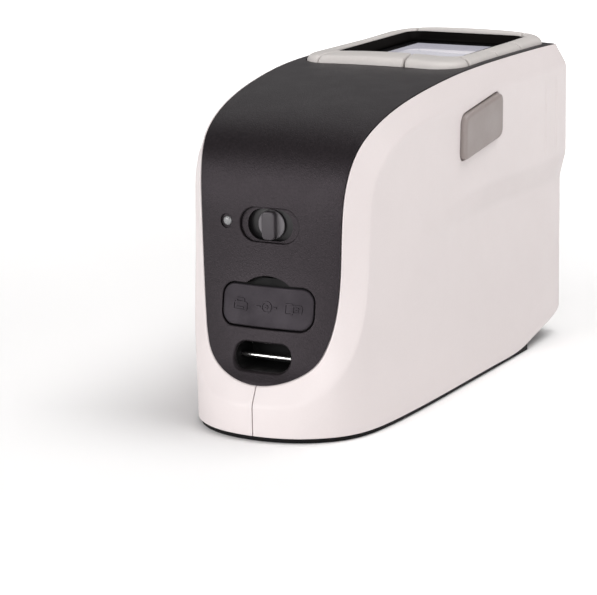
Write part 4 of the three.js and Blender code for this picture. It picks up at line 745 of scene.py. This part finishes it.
# A rounded box about the middle of the power slider
def switchOutline(wide, high, corner, steps=8, runs=4):
    middle = switch["height"]
    return boxOutline(wide, middle - high, middle + high, corner, steps, runs)


# A slot with round ends about that middle, its corners a touch less than half its height
def slotOutline(wide, high):
    return switchOutline(wide, high, high - 0.01, 18, 8)


# The notch over the flap: a circle's top above the flap, closed by a straight line below its edge
def notchOutline(margin):
    wide, rise = notch["halfWidth"], notch["rise"]
    radius = (wide ** 2 + rise ** 2) / (2 * rise)
    middle = flap["high"] + rise - radius
    half = np.arcsin(wide / radius) * notch["widen"]
    turn = np.linspace(-half, half, 40)
    arc = np.stack([-(radius + margin) * np.sin(turn), middle + (radius + margin) * np.cos(turn)], -1)
    low = flap["high"] - notch["overlap"]
    return np.concatenate([arc, [(arc[-1, 0], low), (0.0, low), (arc[0, 0], low)]])


# The cover's section: across the crown, round a small edge, and back along the inside. The edge
# is a parabola from the outer skin to the wall that bends at the rim.
def coverSolid():
    t = np.linspace(cover["first"], 1, cover["stations"])[:, None]
    share = np.linspace(1, -1, cover["columns"])[None, :] + 0 * t
    wide = np.maximum(lineAt(coverEdge, t[:, 0])[:, :1], cover["narrowest"])
    share = share * (1 - cover["edge"] / wide * cover["edgeShare"])
    outer = coverPoint(t + 0 * share, share, case["coverGap"])
    inner = inset(outer, case["wall"])
    turn = np.linspace(0, 1, 5)[None, 1:-1, None]
    sides = []
    for side, last in ((1.0, outer[:, :1]), (-1.0, outer[:, -1:])):
        rim = coverPoint(t, side + 0 * t, case["coverGap"])
        low = inset(rim, case["wall"])
        down = rim + (low - rim) * (cover["edge"] / case["wall"])
        arc = (1 - turn) ** 2 * last + 2 * turn * (1 - turn) * rim + turn ** 2 * down
        sides.append((arc, down, low))
    (rightArc, rightDown, rightLow), (leftArc, leftDown, leftLow) = sides
    return tube(np.concatenate([rightArc[:, ::-1], outer, leftArc, leftDown, leftLow,
                                inner[:, ::-1], rightLow, rightDown], 1))


through = cutting["through"]
ringLevels = [(cover["ringGap"], height) for height in cover["ringCut"]]
lampRing = roundOutline(lamp["ring"], lamp["x"], lamp["z"])
lampBore = roundOutline(lamp["radius"] + lamp["gap"], lamp["x"], lamp["z"])
recess = slotOutline(switch["halfWidth"], switch["halfHeight"])
slot = slotOutline(switch["slotHalfWidth"], switch["slotHalfHeight"])
centreCover = meshObject("centreCover", coverSolid())
carve(centreCover, [
    frontCut(flapOutline, lipOf(flap["gap"], flap["lip"]), through),
    frontCut(notchOutline, notch["lip"], notch["depth"], True),
    frontCut(strapOutline, strap["rim"], through),
    frontCut(recess, lipOf(0.0, switch["lip"]), switch["depth"], True),
    frontCut(slot, lipOf(0.0, switch["slotLip"]), through),
    frontCut(lampRing, lipOf(0.0, lamp["lip"]), lamp["depth"], True),
    stack(lampBore, [(0.0, cutting["start"]), (0.0, through)], onFront),
    stack(ringOutline, ringLevels, upright),
])
finished(centreCover, "cover", "case", "centre_cover", slot="black_cover")
print("cover made, faces:", len(centreCover.data.polygons))

# The port flap's shallow moulded pictograms of its three sockets. A ridge's foot and crest are
# shares of half its width.
pictograms = {"proud": 0.24, "sunk": 0.3, "width": 0.56, "foot": 1.3, "crest": 0.8,
              "height": 3.4, "pitch": 9.8, "middle": 42.0}


# A ridge on the flap along a path in x and z: four corners round each path point, the outer two
# sunk into the flap's face and the inner two standing proud of it
def ridge(path, closed):
    path = np.asarray(path, float)
    ahead = np.roll(path, -1, axis=0) if closed else np.vstack([path[1:], 2 * path[-1] - path[-2]])
    behind = np.roll(path, 1, axis=0) if closed else np.vstack([2 * path[0] - path[1], path[:-1]])
    way = ahead - behind
    normal = np.stack([way[:, 1], -way[:, 0]], -1) / np.linalg.norm(way, axis=1)[:, None]
    half, proud, sunk = pictograms["width"] / 2, pictograms["proud"], pictograms["sunk"]
    base, crest = pictograms["foot"], pictograms["crest"]
    corners = []
    for side, lift in ((-base, sunk), (-crest, -proud), (crest, -proud), (base, sunk)):
        spot = path + normal * half * side
        corners.append(onFront(spot[:, 0], spot[:, 1], lift))
    return tube(np.stack(corners, 1), ring=closed)


# A ridge's path round a rounded box about a middle
def boxPath(x, z, halfWide, halfHigh, corner):
    return roundedBox(x - halfWide, x + halfWide, z - halfHigh, z + halfHigh, corner, 4, 4)


# A ridge's path of even points from a start to an end
def straightPath(start, end, steps=6):
    share = np.linspace(0, 1, steps)[:, None]
    return np.array(start) + (np.array(end) - np.array(start)) * share


# The three pictograms: two sheets with a line, a ring with a dot between two lines, and a plug
def pictogramRidges():
    pitch, z, high = pictograms["pitch"], pictograms["middle"], pictograms["height"] / 2
    page = [ridge(boxPath(-pitch, z - 0.5, 2.5, 1.2, 0.5), True),
            ridge(boxPath(-pitch, z + 1.4, 1.4, 0.55, 0.42), True),
            ridge(straightPath((-pitch - 1.3, z - 0.9), (-pitch + 1.3, z - 0.9)), False)]
    power = [ridge(circle(high, 0, z, 40), True), ridge(circle(0.42, 0, z, 16), True),
             ridge(straightPath((high + 0.5, z), (high + 2.0, z)), False),
             ridge(straightPath((-high - 2.0, z), (-high - 0.5, z)), False)]
    plug = [ridge(boxPath(pitch + 1.2, z, 1.5, 1.15, 0.42), True),
            ridge(boxPath(pitch - 1.75, z, 1.3, 1.6, 0.45), True),
            ridge(straightPath((pitch + 0.7, z + 0.42), (pitch + 1.7, z + 0.42)), False),
            ridge(straightPath((pitch + 0.7, z - 0.42), (pitch + 1.7, z - 0.42)), False)]
    return page + power + plug


flapLevels = flap["back"] + edgeOf(flap["edge"])
flapLevels += insideLevels(-flap["edge"], 0.0, flap["shares"])
portFlap = meshObject("portFlap", joined(stack(flapOutline, flapLevels, onFront), *pictogramRidges()))
finished(portFlap, "rubber", "flap", "port_flap", slot="grey_rubber")

# The power slider: a plate behind the cover, a disc in the slot and an upright rib. Disc and rib
# start a little way inside the plate.
slider = {"plateHalf": (11.2, 6.2), "plateCorner": 3.1, "plateFront": -74.0, "plate": 1.2,
          "plateEdge": 0.2, "disc": 4.8, "discFront": -75.2, "discEdge": 0.35,
          "ribHalf": (2.35, 4.6), "ribCorner": 1.5, "ribFront": -77.7, "ribEdge": 0.5, "sunk": 0.3}


# A block from its back to its front, with the front's edge rounded
def blockLevels(back, front, radius, steps=5):
    return [(0.0, back)] + [(margin, front + down) for margin, down in edgeOf(radius, steps)]


plateFront, root = slider["plateFront"], slider["plateFront"] + slider["sunk"]
plate = stack(switchOutline(*slider["plateHalf"], slider["plateCorner"]),
              blockLevels(plateFront + slider["plate"], plateFront, slider["plateEdge"]), facing)
disc = stack(roundOutline(slider["disc"], 0, switch["height"], 64),
             blockLevels(root, slider["discFront"], slider["discEdge"]), facing)
rib = stack(switchOutline(*slider["ribHalf"], slider["ribCorner"]),
            blockLevels(root, slider["ribFront"], slider["ribEdge"], 7), facing)
powerSlider = meshObject("powerSlider", joined(plate, disc, rib))
finished(powerSlider, "slider", "slider", "power_slider", slot="switch_black")

# The status lamp: a pipe with a domed end, sunk a little way into the front
lampFace = float(frontSurface(np.array([lamp["x"]]), np.array([lamp["z"]]))[0]) + lamp["sunk"]
dome = [(0.0, lamp["back"]), (0.0, lampFace)]
dome += [(0.0, lampFace - lamp["dome"] * np.sin(turn), np.cos(turn))
         for turn in np.linspace(*lamp["turns"])]
lampPipe = roundOutline(lamp["radius"], lamp["x"], lamp["z"], 40)
lampLens = meshObject("lampLens", stack(lampPipe, dome, facing))
finished(lampLens, "lamp", "case", "lamp_lens", slot="lamp")
print("flap, slider and lamp made")

# The key ring: each key is a piece of one rounded bar round the screen. Its section is rounded
# over cross and high at both sides, and its skirt has two depths below the crown. The lines
# that divide it start this far beyond the ring.
keys = {"crossOuter": 3.0, "crossInner": 1.1, "outerHigh": 2.5, "innerHigh": 1.1, "crown": 0.22,
        "skirt": [6.8, 4.6], "end": 0.8, "step": 0.7, "fewest": 14, "beyond": 8.0, "slant": 3.0,
        "gap": 0.14, "cornerGap": 0.224, "sideGap": 0.26, "darkGap": 0.26}
near, slant = ring["near"] - keys["beyond"], keys["slant"]
beside, past = ring["halfWidth"] + keys["beyond"], ring["far"] + keys["beyond"]
inside = ring["innerNear"] + ring["innerCorner"] / 2
mitre = ring["innerHalfWidth"] - slant
divisions = {  # each a line in plan, from outside the ring to inside it, with its half gap
    "leftNear": ((-23.0, near), (-23.0 + slant, inside), keys["gap"]),
    "middle": ((10.0 + slant, near), (10.0 - slant, inside), keys["darkGap"]),
    "corner": ((beside, ring["near"] + ring["corner"] - slant), (mitre, inside), keys["cornerGap"]),
    "rightNear": ((beside, 36.5), (0.0, 36.5), keys["sideGap"]),
    "rightFar": ((beside, 57.0), (0.0, 57.0), keys["sideGap"]),
    "farRight": ((21.0, past), (21.0, past - 20.0), keys["sideGap"]),
    "farLeft": ((-21.0, past), (-21.0, past - 20.0), keys["gap"]),
    "leftFar": ((-beside, 48.4), (0.0, 48.4), keys["gap"]),
}
keyPieces = [  # name, body, node, and the divisions where it starts and ends
    ("keyNearLong", "near_long_key", "key_near_long", "leftNear", "middle"),
    ("keyNearShort", "near_short_key", "key_near_short", "middle", "corner"),
    ("keyRightNear", "right_near_key", "key_right_near", "corner", "rightNear"),
    ("keyRightMiddle", "right_middle_key", "key_right_middle", "rightNear", "rightFar"),
    ("keyRightFar", "right_far_key", "key_right_far", "rightFar", "farRight"),
    ("keyRingBar", "case", "key_ring_bar", "farRight", "farLeft"),
    ("keyLeftFar", "left_far_key", "key_left_far", "farLeft", "leftFar"),
    ("keyLeftNear", "left_near_key", "key_left_near", "leftFar", "leftNear"),
]


# A spot on a rounded box by turn u from 0 to 8: even whole numbers start the straight runs,
# odd ones the quarter circles, from the near side's left end anticlockwise
def boxSpot(half, low, high, radius, u):
    u = np.mod(u, 8)
    part = np.minimum(u.astype(int), 7)
    share = u - part
    side = part // 2
    right, left, top, bottom = half - radius, -half + radius, high - radius, low + radius
    starts = np.array([(left, low), (half, bottom), (right, high), (-half, top)])
    ends = np.array([(right, low), (half, top), (left, high), (-half, bottom)])
    centres = np.array([(right, bottom), (right, top), (left, top), (left, bottom)])
    turn = (side - 1 + share) * np.pi / 2
    arc = centres[side] + radius * np.stack([np.cos(turn), np.sin(turn)], -1)
    run = starts[side] + (ends[side] - starts[side]) * share[..., None]
    return np.where((part % 2 == 0)[..., None], run, arc)


# The ring's outer outline, and its inner one
def outerSpot(u):
    return boxSpot(ring["halfWidth"], ring["near"], ring["far"], ring["corner"], u)


def innerSpot(u):
    return boxSpot(ring["innerHalfWidth"], ring["innerNear"], ring["innerFar"], ring["innerCorner"], u)


turnSteps = 16000  # spots that are tried on an outline


# The turn at which an outline crosses a division: where the side of the line changes sign
def crossing(spotAt, start, end):
    u = np.linspace(0, 8, turnSteps + 1)
    start, end = np.array(start), np.array(end)
    way = end - start
    spots = spotAt(u) - start
    side = way[0] * spots[:, 1] - way[1] * spots[:, 0]
    share = spots @ way / (way @ way)
    hits = np.nonzero((side[:-1] * side[1:] <= 0) & (share[:-1] > -0.01) & (share[:-1] < 1.01))[0]
    return u[hits[0]]


turns = {name: (crossing(outerSpot, start, end), crossing(innerSpot, start, end), gap)
         for name, (start, end, gap) in divisions.items()}


# One key: along the bar go loops of a pillow-shaped profile, which shrinks on a quarter circle
# at both ends. Across it the profile rises, rounds over, crowns and goes down again.
def keySolid(startName, endName):
    (outerStart, innerStart, startGap), (outerEnd, innerEnd, endGap) = turns[startName], turns[endName]
    # Turns go on past 8 where a key lies across the start of an outline
    if outerEnd < outerStart:
        outerEnd, innerEnd = outerEnd + 8, innerEnd + 8
    if innerStart > outerStart + 4:
        innerStart -= 8
    if innerEnd > outerEnd + 4:
        innerEnd -= 8
    fine = np.linspace(0, 1, 400)
    middleLine = (outerSpot(outerStart + (outerEnd - outerStart) * fine)
                  + innerSpot(innerStart + (innerEnd - innerStart) * fine)) / 2
    reach = np.concatenate([[0], np.cumsum(np.linalg.norm(np.diff(middleLine, axis=0), axis=1))])
    length, end = reach[-1], keys["end"]
    turn = np.linspace(0, np.pi / 2, 6)
    ease, narrow = end * (1 - np.cos(turn)), end * (1 - np.sin(turn))
    steps = max(keys["fewest"], int(length / keys["step"]))
    straight = np.linspace(startGap + end, length - endGap - end, steps)[1:-1]
    away = np.concatenate([startGap + ease, straight, length - endGap - ease[::-1]])
    shrink = np.concatenate([narrow, 0 * straight, narrow[::-1]])[:, None]
    share = np.interp(away, reach, fine)
    outer = outerSpot(outerStart + (outerEnd - outerStart) * share)
    inner = innerSpot(innerStart + (innerEnd - innerStart) * share)
    width = np.linalg.norm(inner - outer, axis=1)[:, None]
    arc, over = np.linspace(0, np.pi / 2, 9), np.linspace(0, 1, 13)[1:-1]
    across, rise = 1 - np.cos(arc), 1 - np.sin(arc)
    outside, within, crown = keys["crossOuter"], keys["crossInner"], keys["crown"]
    offset = np.concatenate([
        0 * width + np.zeros(2), 0 * width + outside * across,
        outside + (width - outside - within) * over,
        width - within * across[::-1], width + np.zeros(2)], 1)
    down = np.concatenate([
        keys["skirt"], crown + keys["outerHigh"] * rise, crown * (2 * over - 1) ** 2,
        crown + keys["innerHigh"] * rise[::-1], keys["skirt"][::-1]]) + shrink
    offset = shrink + offset * (width - 2 * shrink) / width
    flat = outer[:, None] + (inner - outer)[:, None] * (offset / width)[..., None]
    z = ring["top"] - ring["drop"] * (flat[..., 0] / ring["halfWidth"]) ** 2 - down
    z = np.maximum(z, ring["foot"])
    return tube(np.concatenate([flat, z[..., None]], -1))


for piece, body, node, start, end in keyPieces:
    finished(meshObject(piece, keySolid(start, end)), "key", body, node, slot="key_grey", crisp=40)
print("keys made")

# The display's frame and window. Margins count from the key ring's inner outline.
display = {"foot": 102.0, "plate": 103.3, "top": 111.2, "rim": -1.2, "wall": -0.4, "lip": -2.8,
           "lipHigh": 108.8, "lipLow": 108.2, "room": -2.1, "plateMargin": 6.6,
           "topEdge": 0.3, "topBend": 0.09, "rimEdge": (0.25, 0.15), "lipSlope": (0.2, 0.3, 0.1),
           "windowHigh": 107.9, "windowLow": 106.5, "windowMargin": -2.4, "windowEdge": 0.2}
windowOutline = boxOutline(ring["innerHalfWidth"], ring["innerNear"], ring["innerFar"],
                           ring["innerCorner"], 12, 6)
foot, plate, top = display["foot"], display["plate"], display["top"]
rim, wall, lip, room = display["rim"], display["wall"], display["lip"], display["room"]
edge, bend, (rimIn, rimDown) = display["topEdge"], display["topBend"], display["rimEdge"]
slopeIn, slopeUp, slopeDown = display["lipSlope"]
frameLevels = [
    (display["plateMargin"], foot), (display["plateMargin"], plate), (wall, plate),
    (wall, top - edge), (wall - bend, top - bend), (wall - edge, top), (rim + rimIn, top),
    (rim, top - rimDown), (lip + slopeIn, display["lipHigh"] + slopeUp),
    (lip, display["lipHigh"] - slopeDown), (lip, display["lipLow"]), (room, display["lipLow"]),
    (room, foot)]
margin, high, edge = display["windowMargin"], display["windowHigh"], display["windowEdge"]
windowLevels = [(margin, display["windowLow"]), (margin, high - edge), (margin - edge, high)]
displayFrame = meshObject("displayFrame", stack(windowOutline, frameLevels, upright, ring=True))
displayWindow = meshObject("displayWindow", stack(windowOutline, windowLevels, upright))
finished(displayFrame, "frame", "case", "display_frame", slot="black_cover")
finished(displayWindow, "screen", "case", "display_window", slot="screen")
print("display made")

# The base plate, with the places of its screws and of the aperture. A bore has a radius and
# two heights.
base = {
    "inset": 1.0, "noseInset": 3.0, "noseStart": 57.0, "lip": 3.0, "lipWidth": 1.2, "lipHigh": 2.3,
    "floor": 1.9, "gap": 0.3, "round": 0.35, "roundMiddle": 0.1, "noseBlend": 1.0,
    "first": 0.001, "stations": 170, "farSteps": 8,
    "screws": [(-26.2, -52.0), (-26.2, 52.0), (26.2, -52.0), (26.2, 52.0)],
    "apertureY": 34.0, "aperture": (9.3, -5, 9), "shank": (1.7, -5, 12), "head": (2.9, -5, 1.9),
}


# The plate: outlines that follow the shells' foot line, drawn in along its normal by a depth,
# at heights counted from the foot. Its two faces join each left point to its right one.
def basePlate():
    steps, blend = base["farSteps"], base["noseBlend"]
    t = np.concatenate([np.linspace(base["first"], 1, base["stations"]), np.ones(steps)])
    spots, way = lineAt(footLine, t), tangentAt(footLine, t)
    spots[-steps:, 0] *= np.linspace(1, 0, steps + 1)[1:]
    way[-steps:] = (-1, 0, 0)
    outward = np.stack([way[:, 1], -way[:, 0]], -1)
    outward /= np.linalg.norm(outward, axis=1)[:, None]
    y, z = spots[:, 1], spots[:, 2]
    nose = smooth(y, base["noseStart"] - blend, base["noseStart"] + blend)
    edge = base["inset"] + (base["noseInset"] - base["inset"]) * nose
    lip = base["lip"] + 0 * y
    inner = lip + base["lipWidth"]
    under = (z + base["gap"]) * nose
    ledge = z - base["gap"] + 3 * base["gap"] * nose
    top = z + base["lipHigh"]
    rounding, bend = base["round"], base["roundMiddle"]
    levels = [(edge + rounding, under), (edge + bend, under + bend), (edge, under + rounding),
              (edge, ledge), (lip, ledge), (lip, top), (inner, top), (inner, under + base["floor"])]
    loops = []
    for depth, height in levels:
        x = np.maximum(0, spots[:, 0] - outward[:, 0] * depth)
        right = np.stack([x, y - outward[:, 1] * depth, height], -1)
        loops.append(np.concatenate([right, right[::-1] * [-1, 1, 1]]))
    loops = np.array(loops)
    vertices, faces = tube(loops, capped=False)
    count, upper = loops.shape[1], (len(levels) - 1) * loops.shape[1]
    pairs = [[k, k + 1, count - 2 - k, count - 1 - k] for k in range(len(t) - 1)]
    return vertices, faces + pairs + [[upper + corner for corner in side] for side in pairs]


# Turns all faces outwards, on a piece whose parts were put together without regard to it
def outwards(made):
    work = bmesh.new()
    work.from_mesh(made.data)
    bmesh.ops.recalc_face_normals(work, faces=work.faces)
    work.to_mesh(made.data)
    work.free()
    return made


# A round bore up through the base
def bore(x, y, radius, low, high):
    return stack(roundOutline(radius, x, y), [(0.0, low), (0.0, high)], upright)


plateObject = outwards(meshObject("basePlate", basePlate()))
cutters = [bore(0, base["apertureY"], *base["aperture"])]
for x, y in base["screws"]:
    cutters += [bore(x, y, *base["shank"]), bore(x, y, *base["head"])]
carve(plateObject, cutters)
finished(plateObject, "base", "case", "base_plate", slot="black_base")

# The base screws: radii of head and shank, heights above the floor, and the cross cut into the head
screw = {"head": 2.6, "low": 0.2, "high": 1.6, "edge": 0.35, "shank": 1.4, "sunk": 0.3, "end": 10.6,
         "pointLong": 1.0, "pointIn": -0.5, "cross": 0.42, "crossReach": 1.5, "crossDeep": 1.0,
         "crossCorner": 0.2, "crossStart": -2.0}
screwNames = ["left_near", "left_far", "right_near", "right_far"]


# A screw from below: the rounded head, the cross cut into it, and the shank with its short point
def screwObject(name, x, y):
    low, high, end = screw["low"], screw["high"], screw["end"]
    head = [(margin, low + down) for margin, down in edgeOf(screw["edge"])][::-1] + [(0.0, high)]
    made = meshObject(name, stack(roundOutline(screw["head"], x, y, 40), head, upright))
    cross = [(screw["crossReach"], screw["cross"]), (screw["cross"], screw["crossReach"])]
    boxes = [roundedBox(x - w, x + w, y - h, y + h, screw["crossCorner"], 3, 2) for w, h in cross]
    deep = [(0.0, screw["crossStart"]), (0.0, low + screw["crossDeep"])]
    carve(made, [stack(lambda margin, box=box: box, deep, upright) for box in boxes])
    levels = [(0.0, high - screw["sunk"]), (0.0, end - screw["pointLong"]), (screw["pointIn"], end)]
    spots, faces = stack(roundOutline(screw["shank"], x, y, 32), levels, upright)
    shank = bpy.data.meshes.new("shank")
    shank.from_pydata((spots * mm).tolist(), [], faces)
    work = bmesh.new()
    work.from_mesh(made.data)
    work.from_mesh(shank)
    work.to_mesh(made.data)
    work.free()
    return made


for name, (x, y) in zip(screwNames, base["screws"]):
    finished(screwObject("baseScrew_" + name, x, y), "steel", "case", "base_screw_" + name, slot="steel")

# The aperture ring's section as radii and heights, and the cut of each of its corners
aperture = {"profile": [(4.0, 0.2), (9.0, 0.2), (9.0, 2.2), (11.5, 2.2), (11.5, 3.2), (6.0, 3.2)],
            "cuts": [0.15, 0.3, 0.1, 0.2, 0.2, 0.2]}


# A ring: a rounded section turned about an upright line through x = 0 and the given y
def turnedRing(profile, cuts, y, steps=72):
    corners = np.array([[(radius, 0.0, height) for radius, height in profile]])
    section = roundedLoops(corners, cuts, 4, [1] * len(profile))[0]
    turn = np.linspace(0, 2 * np.pi, steps, endpoint=False)[:, None]
    radius, height = section[:, 0], section[:, 2] + 0 * turn
    return tube(np.stack([radius * np.cos(turn), y + radius * np.sin(turn), height], -1), ring=True)


ringSolid = turnedRing(aperture["profile"], aperture["cuts"], base["apertureY"])
finished(meshObject("apertureRing", ringSolid), "base", "case", "aperture_ring", slot="black_base")

# The strap bar: a polished pin with turned-down ends
bar = {"radius": 0.9, "neck": 0.78, "reach": 11.5, "neckLong": 1.1, "shoulder": 1.35,
       "y": -77.6, "z": 25.2}
barHalf = [(bar["radius"], bar["reach"] - bar["shoulder"]), (bar["neck"], bar["reach"] - bar["neckLong"]),
           (bar["neck"], bar["reach"])]
barLevels = [(radius, -x) for radius, x in barHalf[::-1]] + barHalf
strapBar = meshObject("strapBar", stack(roundOutline(0.0, bar["y"], bar["z"], 40), barLevels, sideways))
finished(strapBar, "steel", "case", "strap_bar", slot="steel")
print("base, screws, aperture ring and strap bar made")

# The solids' own pieces inside keep their shape and get their finish
carried = {
    "base": ["strap_pocket", "port_frame", "power_socket", "printer_socket", "buzzer"],
    "slider": ["trigger_switch"],
    "mat": ["key_mat"],
    "board": ["key_board", "lcd_board", "trigger_board", "front_board", "source_board",
              "sensor_board", "main_board"],
    "steel": ["power_switch", "usb_socket", "processor_shield"],
    "aluminium": ["lcd_module", "spectrometer_housing"],
    "coating": ["sphere_lower", "sphere_upper"],
    "chassis": ["chassis", "battery_cradle"],
    "sleeve": ["battery_pack"],
}
for look, names in carried.items():
    for name in names:
        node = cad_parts[name]
        for spot in node.material_slots:
            spot.link = "OBJECT"
            spot.material = looks[look].material
print("inner pieces finished")

# The floor and the lights: each light with its place, size, power and colour, in metres. The
# floor glows more and more with its distance from the object, so that it ends in plain white.
studio = {
    "floor": 6.0, "glowStart": 0.06, "glowFull": 1.0, "glow": 0.6,
    "world": 0.28, "worldColour": (1.0, 0.995, 0.99, 1.0), "aim": (0, 0, 0.06),
    "lights": [
        ("key", (-1.1, -2.1, 0.52), (1.5, 0.9), 29.5, (1.0, 0.985, 0.985)),
        ("front", (1.0, -2.1, 0.6), (1.2, 0.8), 19.0, (1.0, 0.985, 0.985)),
        ("side", (2.2, 0.5, 0.9), (1.4, 1.0), 4.0, (1.0, 0.955, 0.955)),
        ("back", (-1.1, 1.4, 1.6), (1.2, 0.8), 2.5, (1.0, 0.99, 0.99)),
        ("top", (0.6, 0.4, 1.9), (1.2, 1.2), 28.0, (1.0, 0.99, 0.985))],
}


# A square of matt white board under the object, with the glow as a ramp on the distance
def paleFloor():
    half = studio["floor"] / 2
    corners = [(-half, -half, 0), (half, -half, 0), (half, half, 0), (-half, half, 0)]
    mesh = bpy.data.meshes.new("floor")
    mesh.from_pydata(corners, [], [(0, 1, 2, 3)])
    made = bpy.data.objects.new("floor", mesh)
    bpy.context.scene.collection.objects.link(made)
    finish = Finish("paleFloor", Roughness=0.8, Emission_Strength=studio["glow"])
    clouds = finish.noise(400, 2)
    finish.feed("Base Color", finish.blend(clouds, tone(0.93, 0.93, 0.93), tone(0.95, 0.95, 0.95)))
    away = finish.node("ShaderNodeVectorMath", {"operation": "LENGTH"}, {0: finish.place()}, out=1)
    far = finish.ramp(away, studio["glowStart"], studio["glowFull"])
    finish.feed("Emission Color", finish.blend(far, tone(0, 0, 0), tone(1, 1, 1)))
    mesh.materials.append(finish.material)


# An even pale world, and lamps with rectangular faces that are turned to the object
def studioLight():
    world = bpy.data.worlds.new("studio")
    world.use_nodes = True
    backdrop = world.node_tree.nodes["Background"]
    backdrop.inputs[0].default_value = studio["worldColour"]
    backdrop.inputs[1].default_value = studio["world"]
    bpy.context.scene.world = world
    bpy.context.scene.view_settings.view_transform = "Standard"
    for name, place, size, power, colour in studio["lights"]:
        data = bpy.data.lights.new(name, "AREA")
        data.shape, data.energy, data.color = "RECTANGLE", power, colour
        data.size, data.size_y = size
        made = bpy.data.objects.new(name, data)
        made.location = place
        ahead = Vector(studio["aim"]) - Vector(place)
        made.rotation_euler = ahead.to_track_quat("-Z", "Y").to_euler()
        bpy.context.scene.collection.objects.link(made)


paleFloor()
studioLight()
print("floor and lights made")
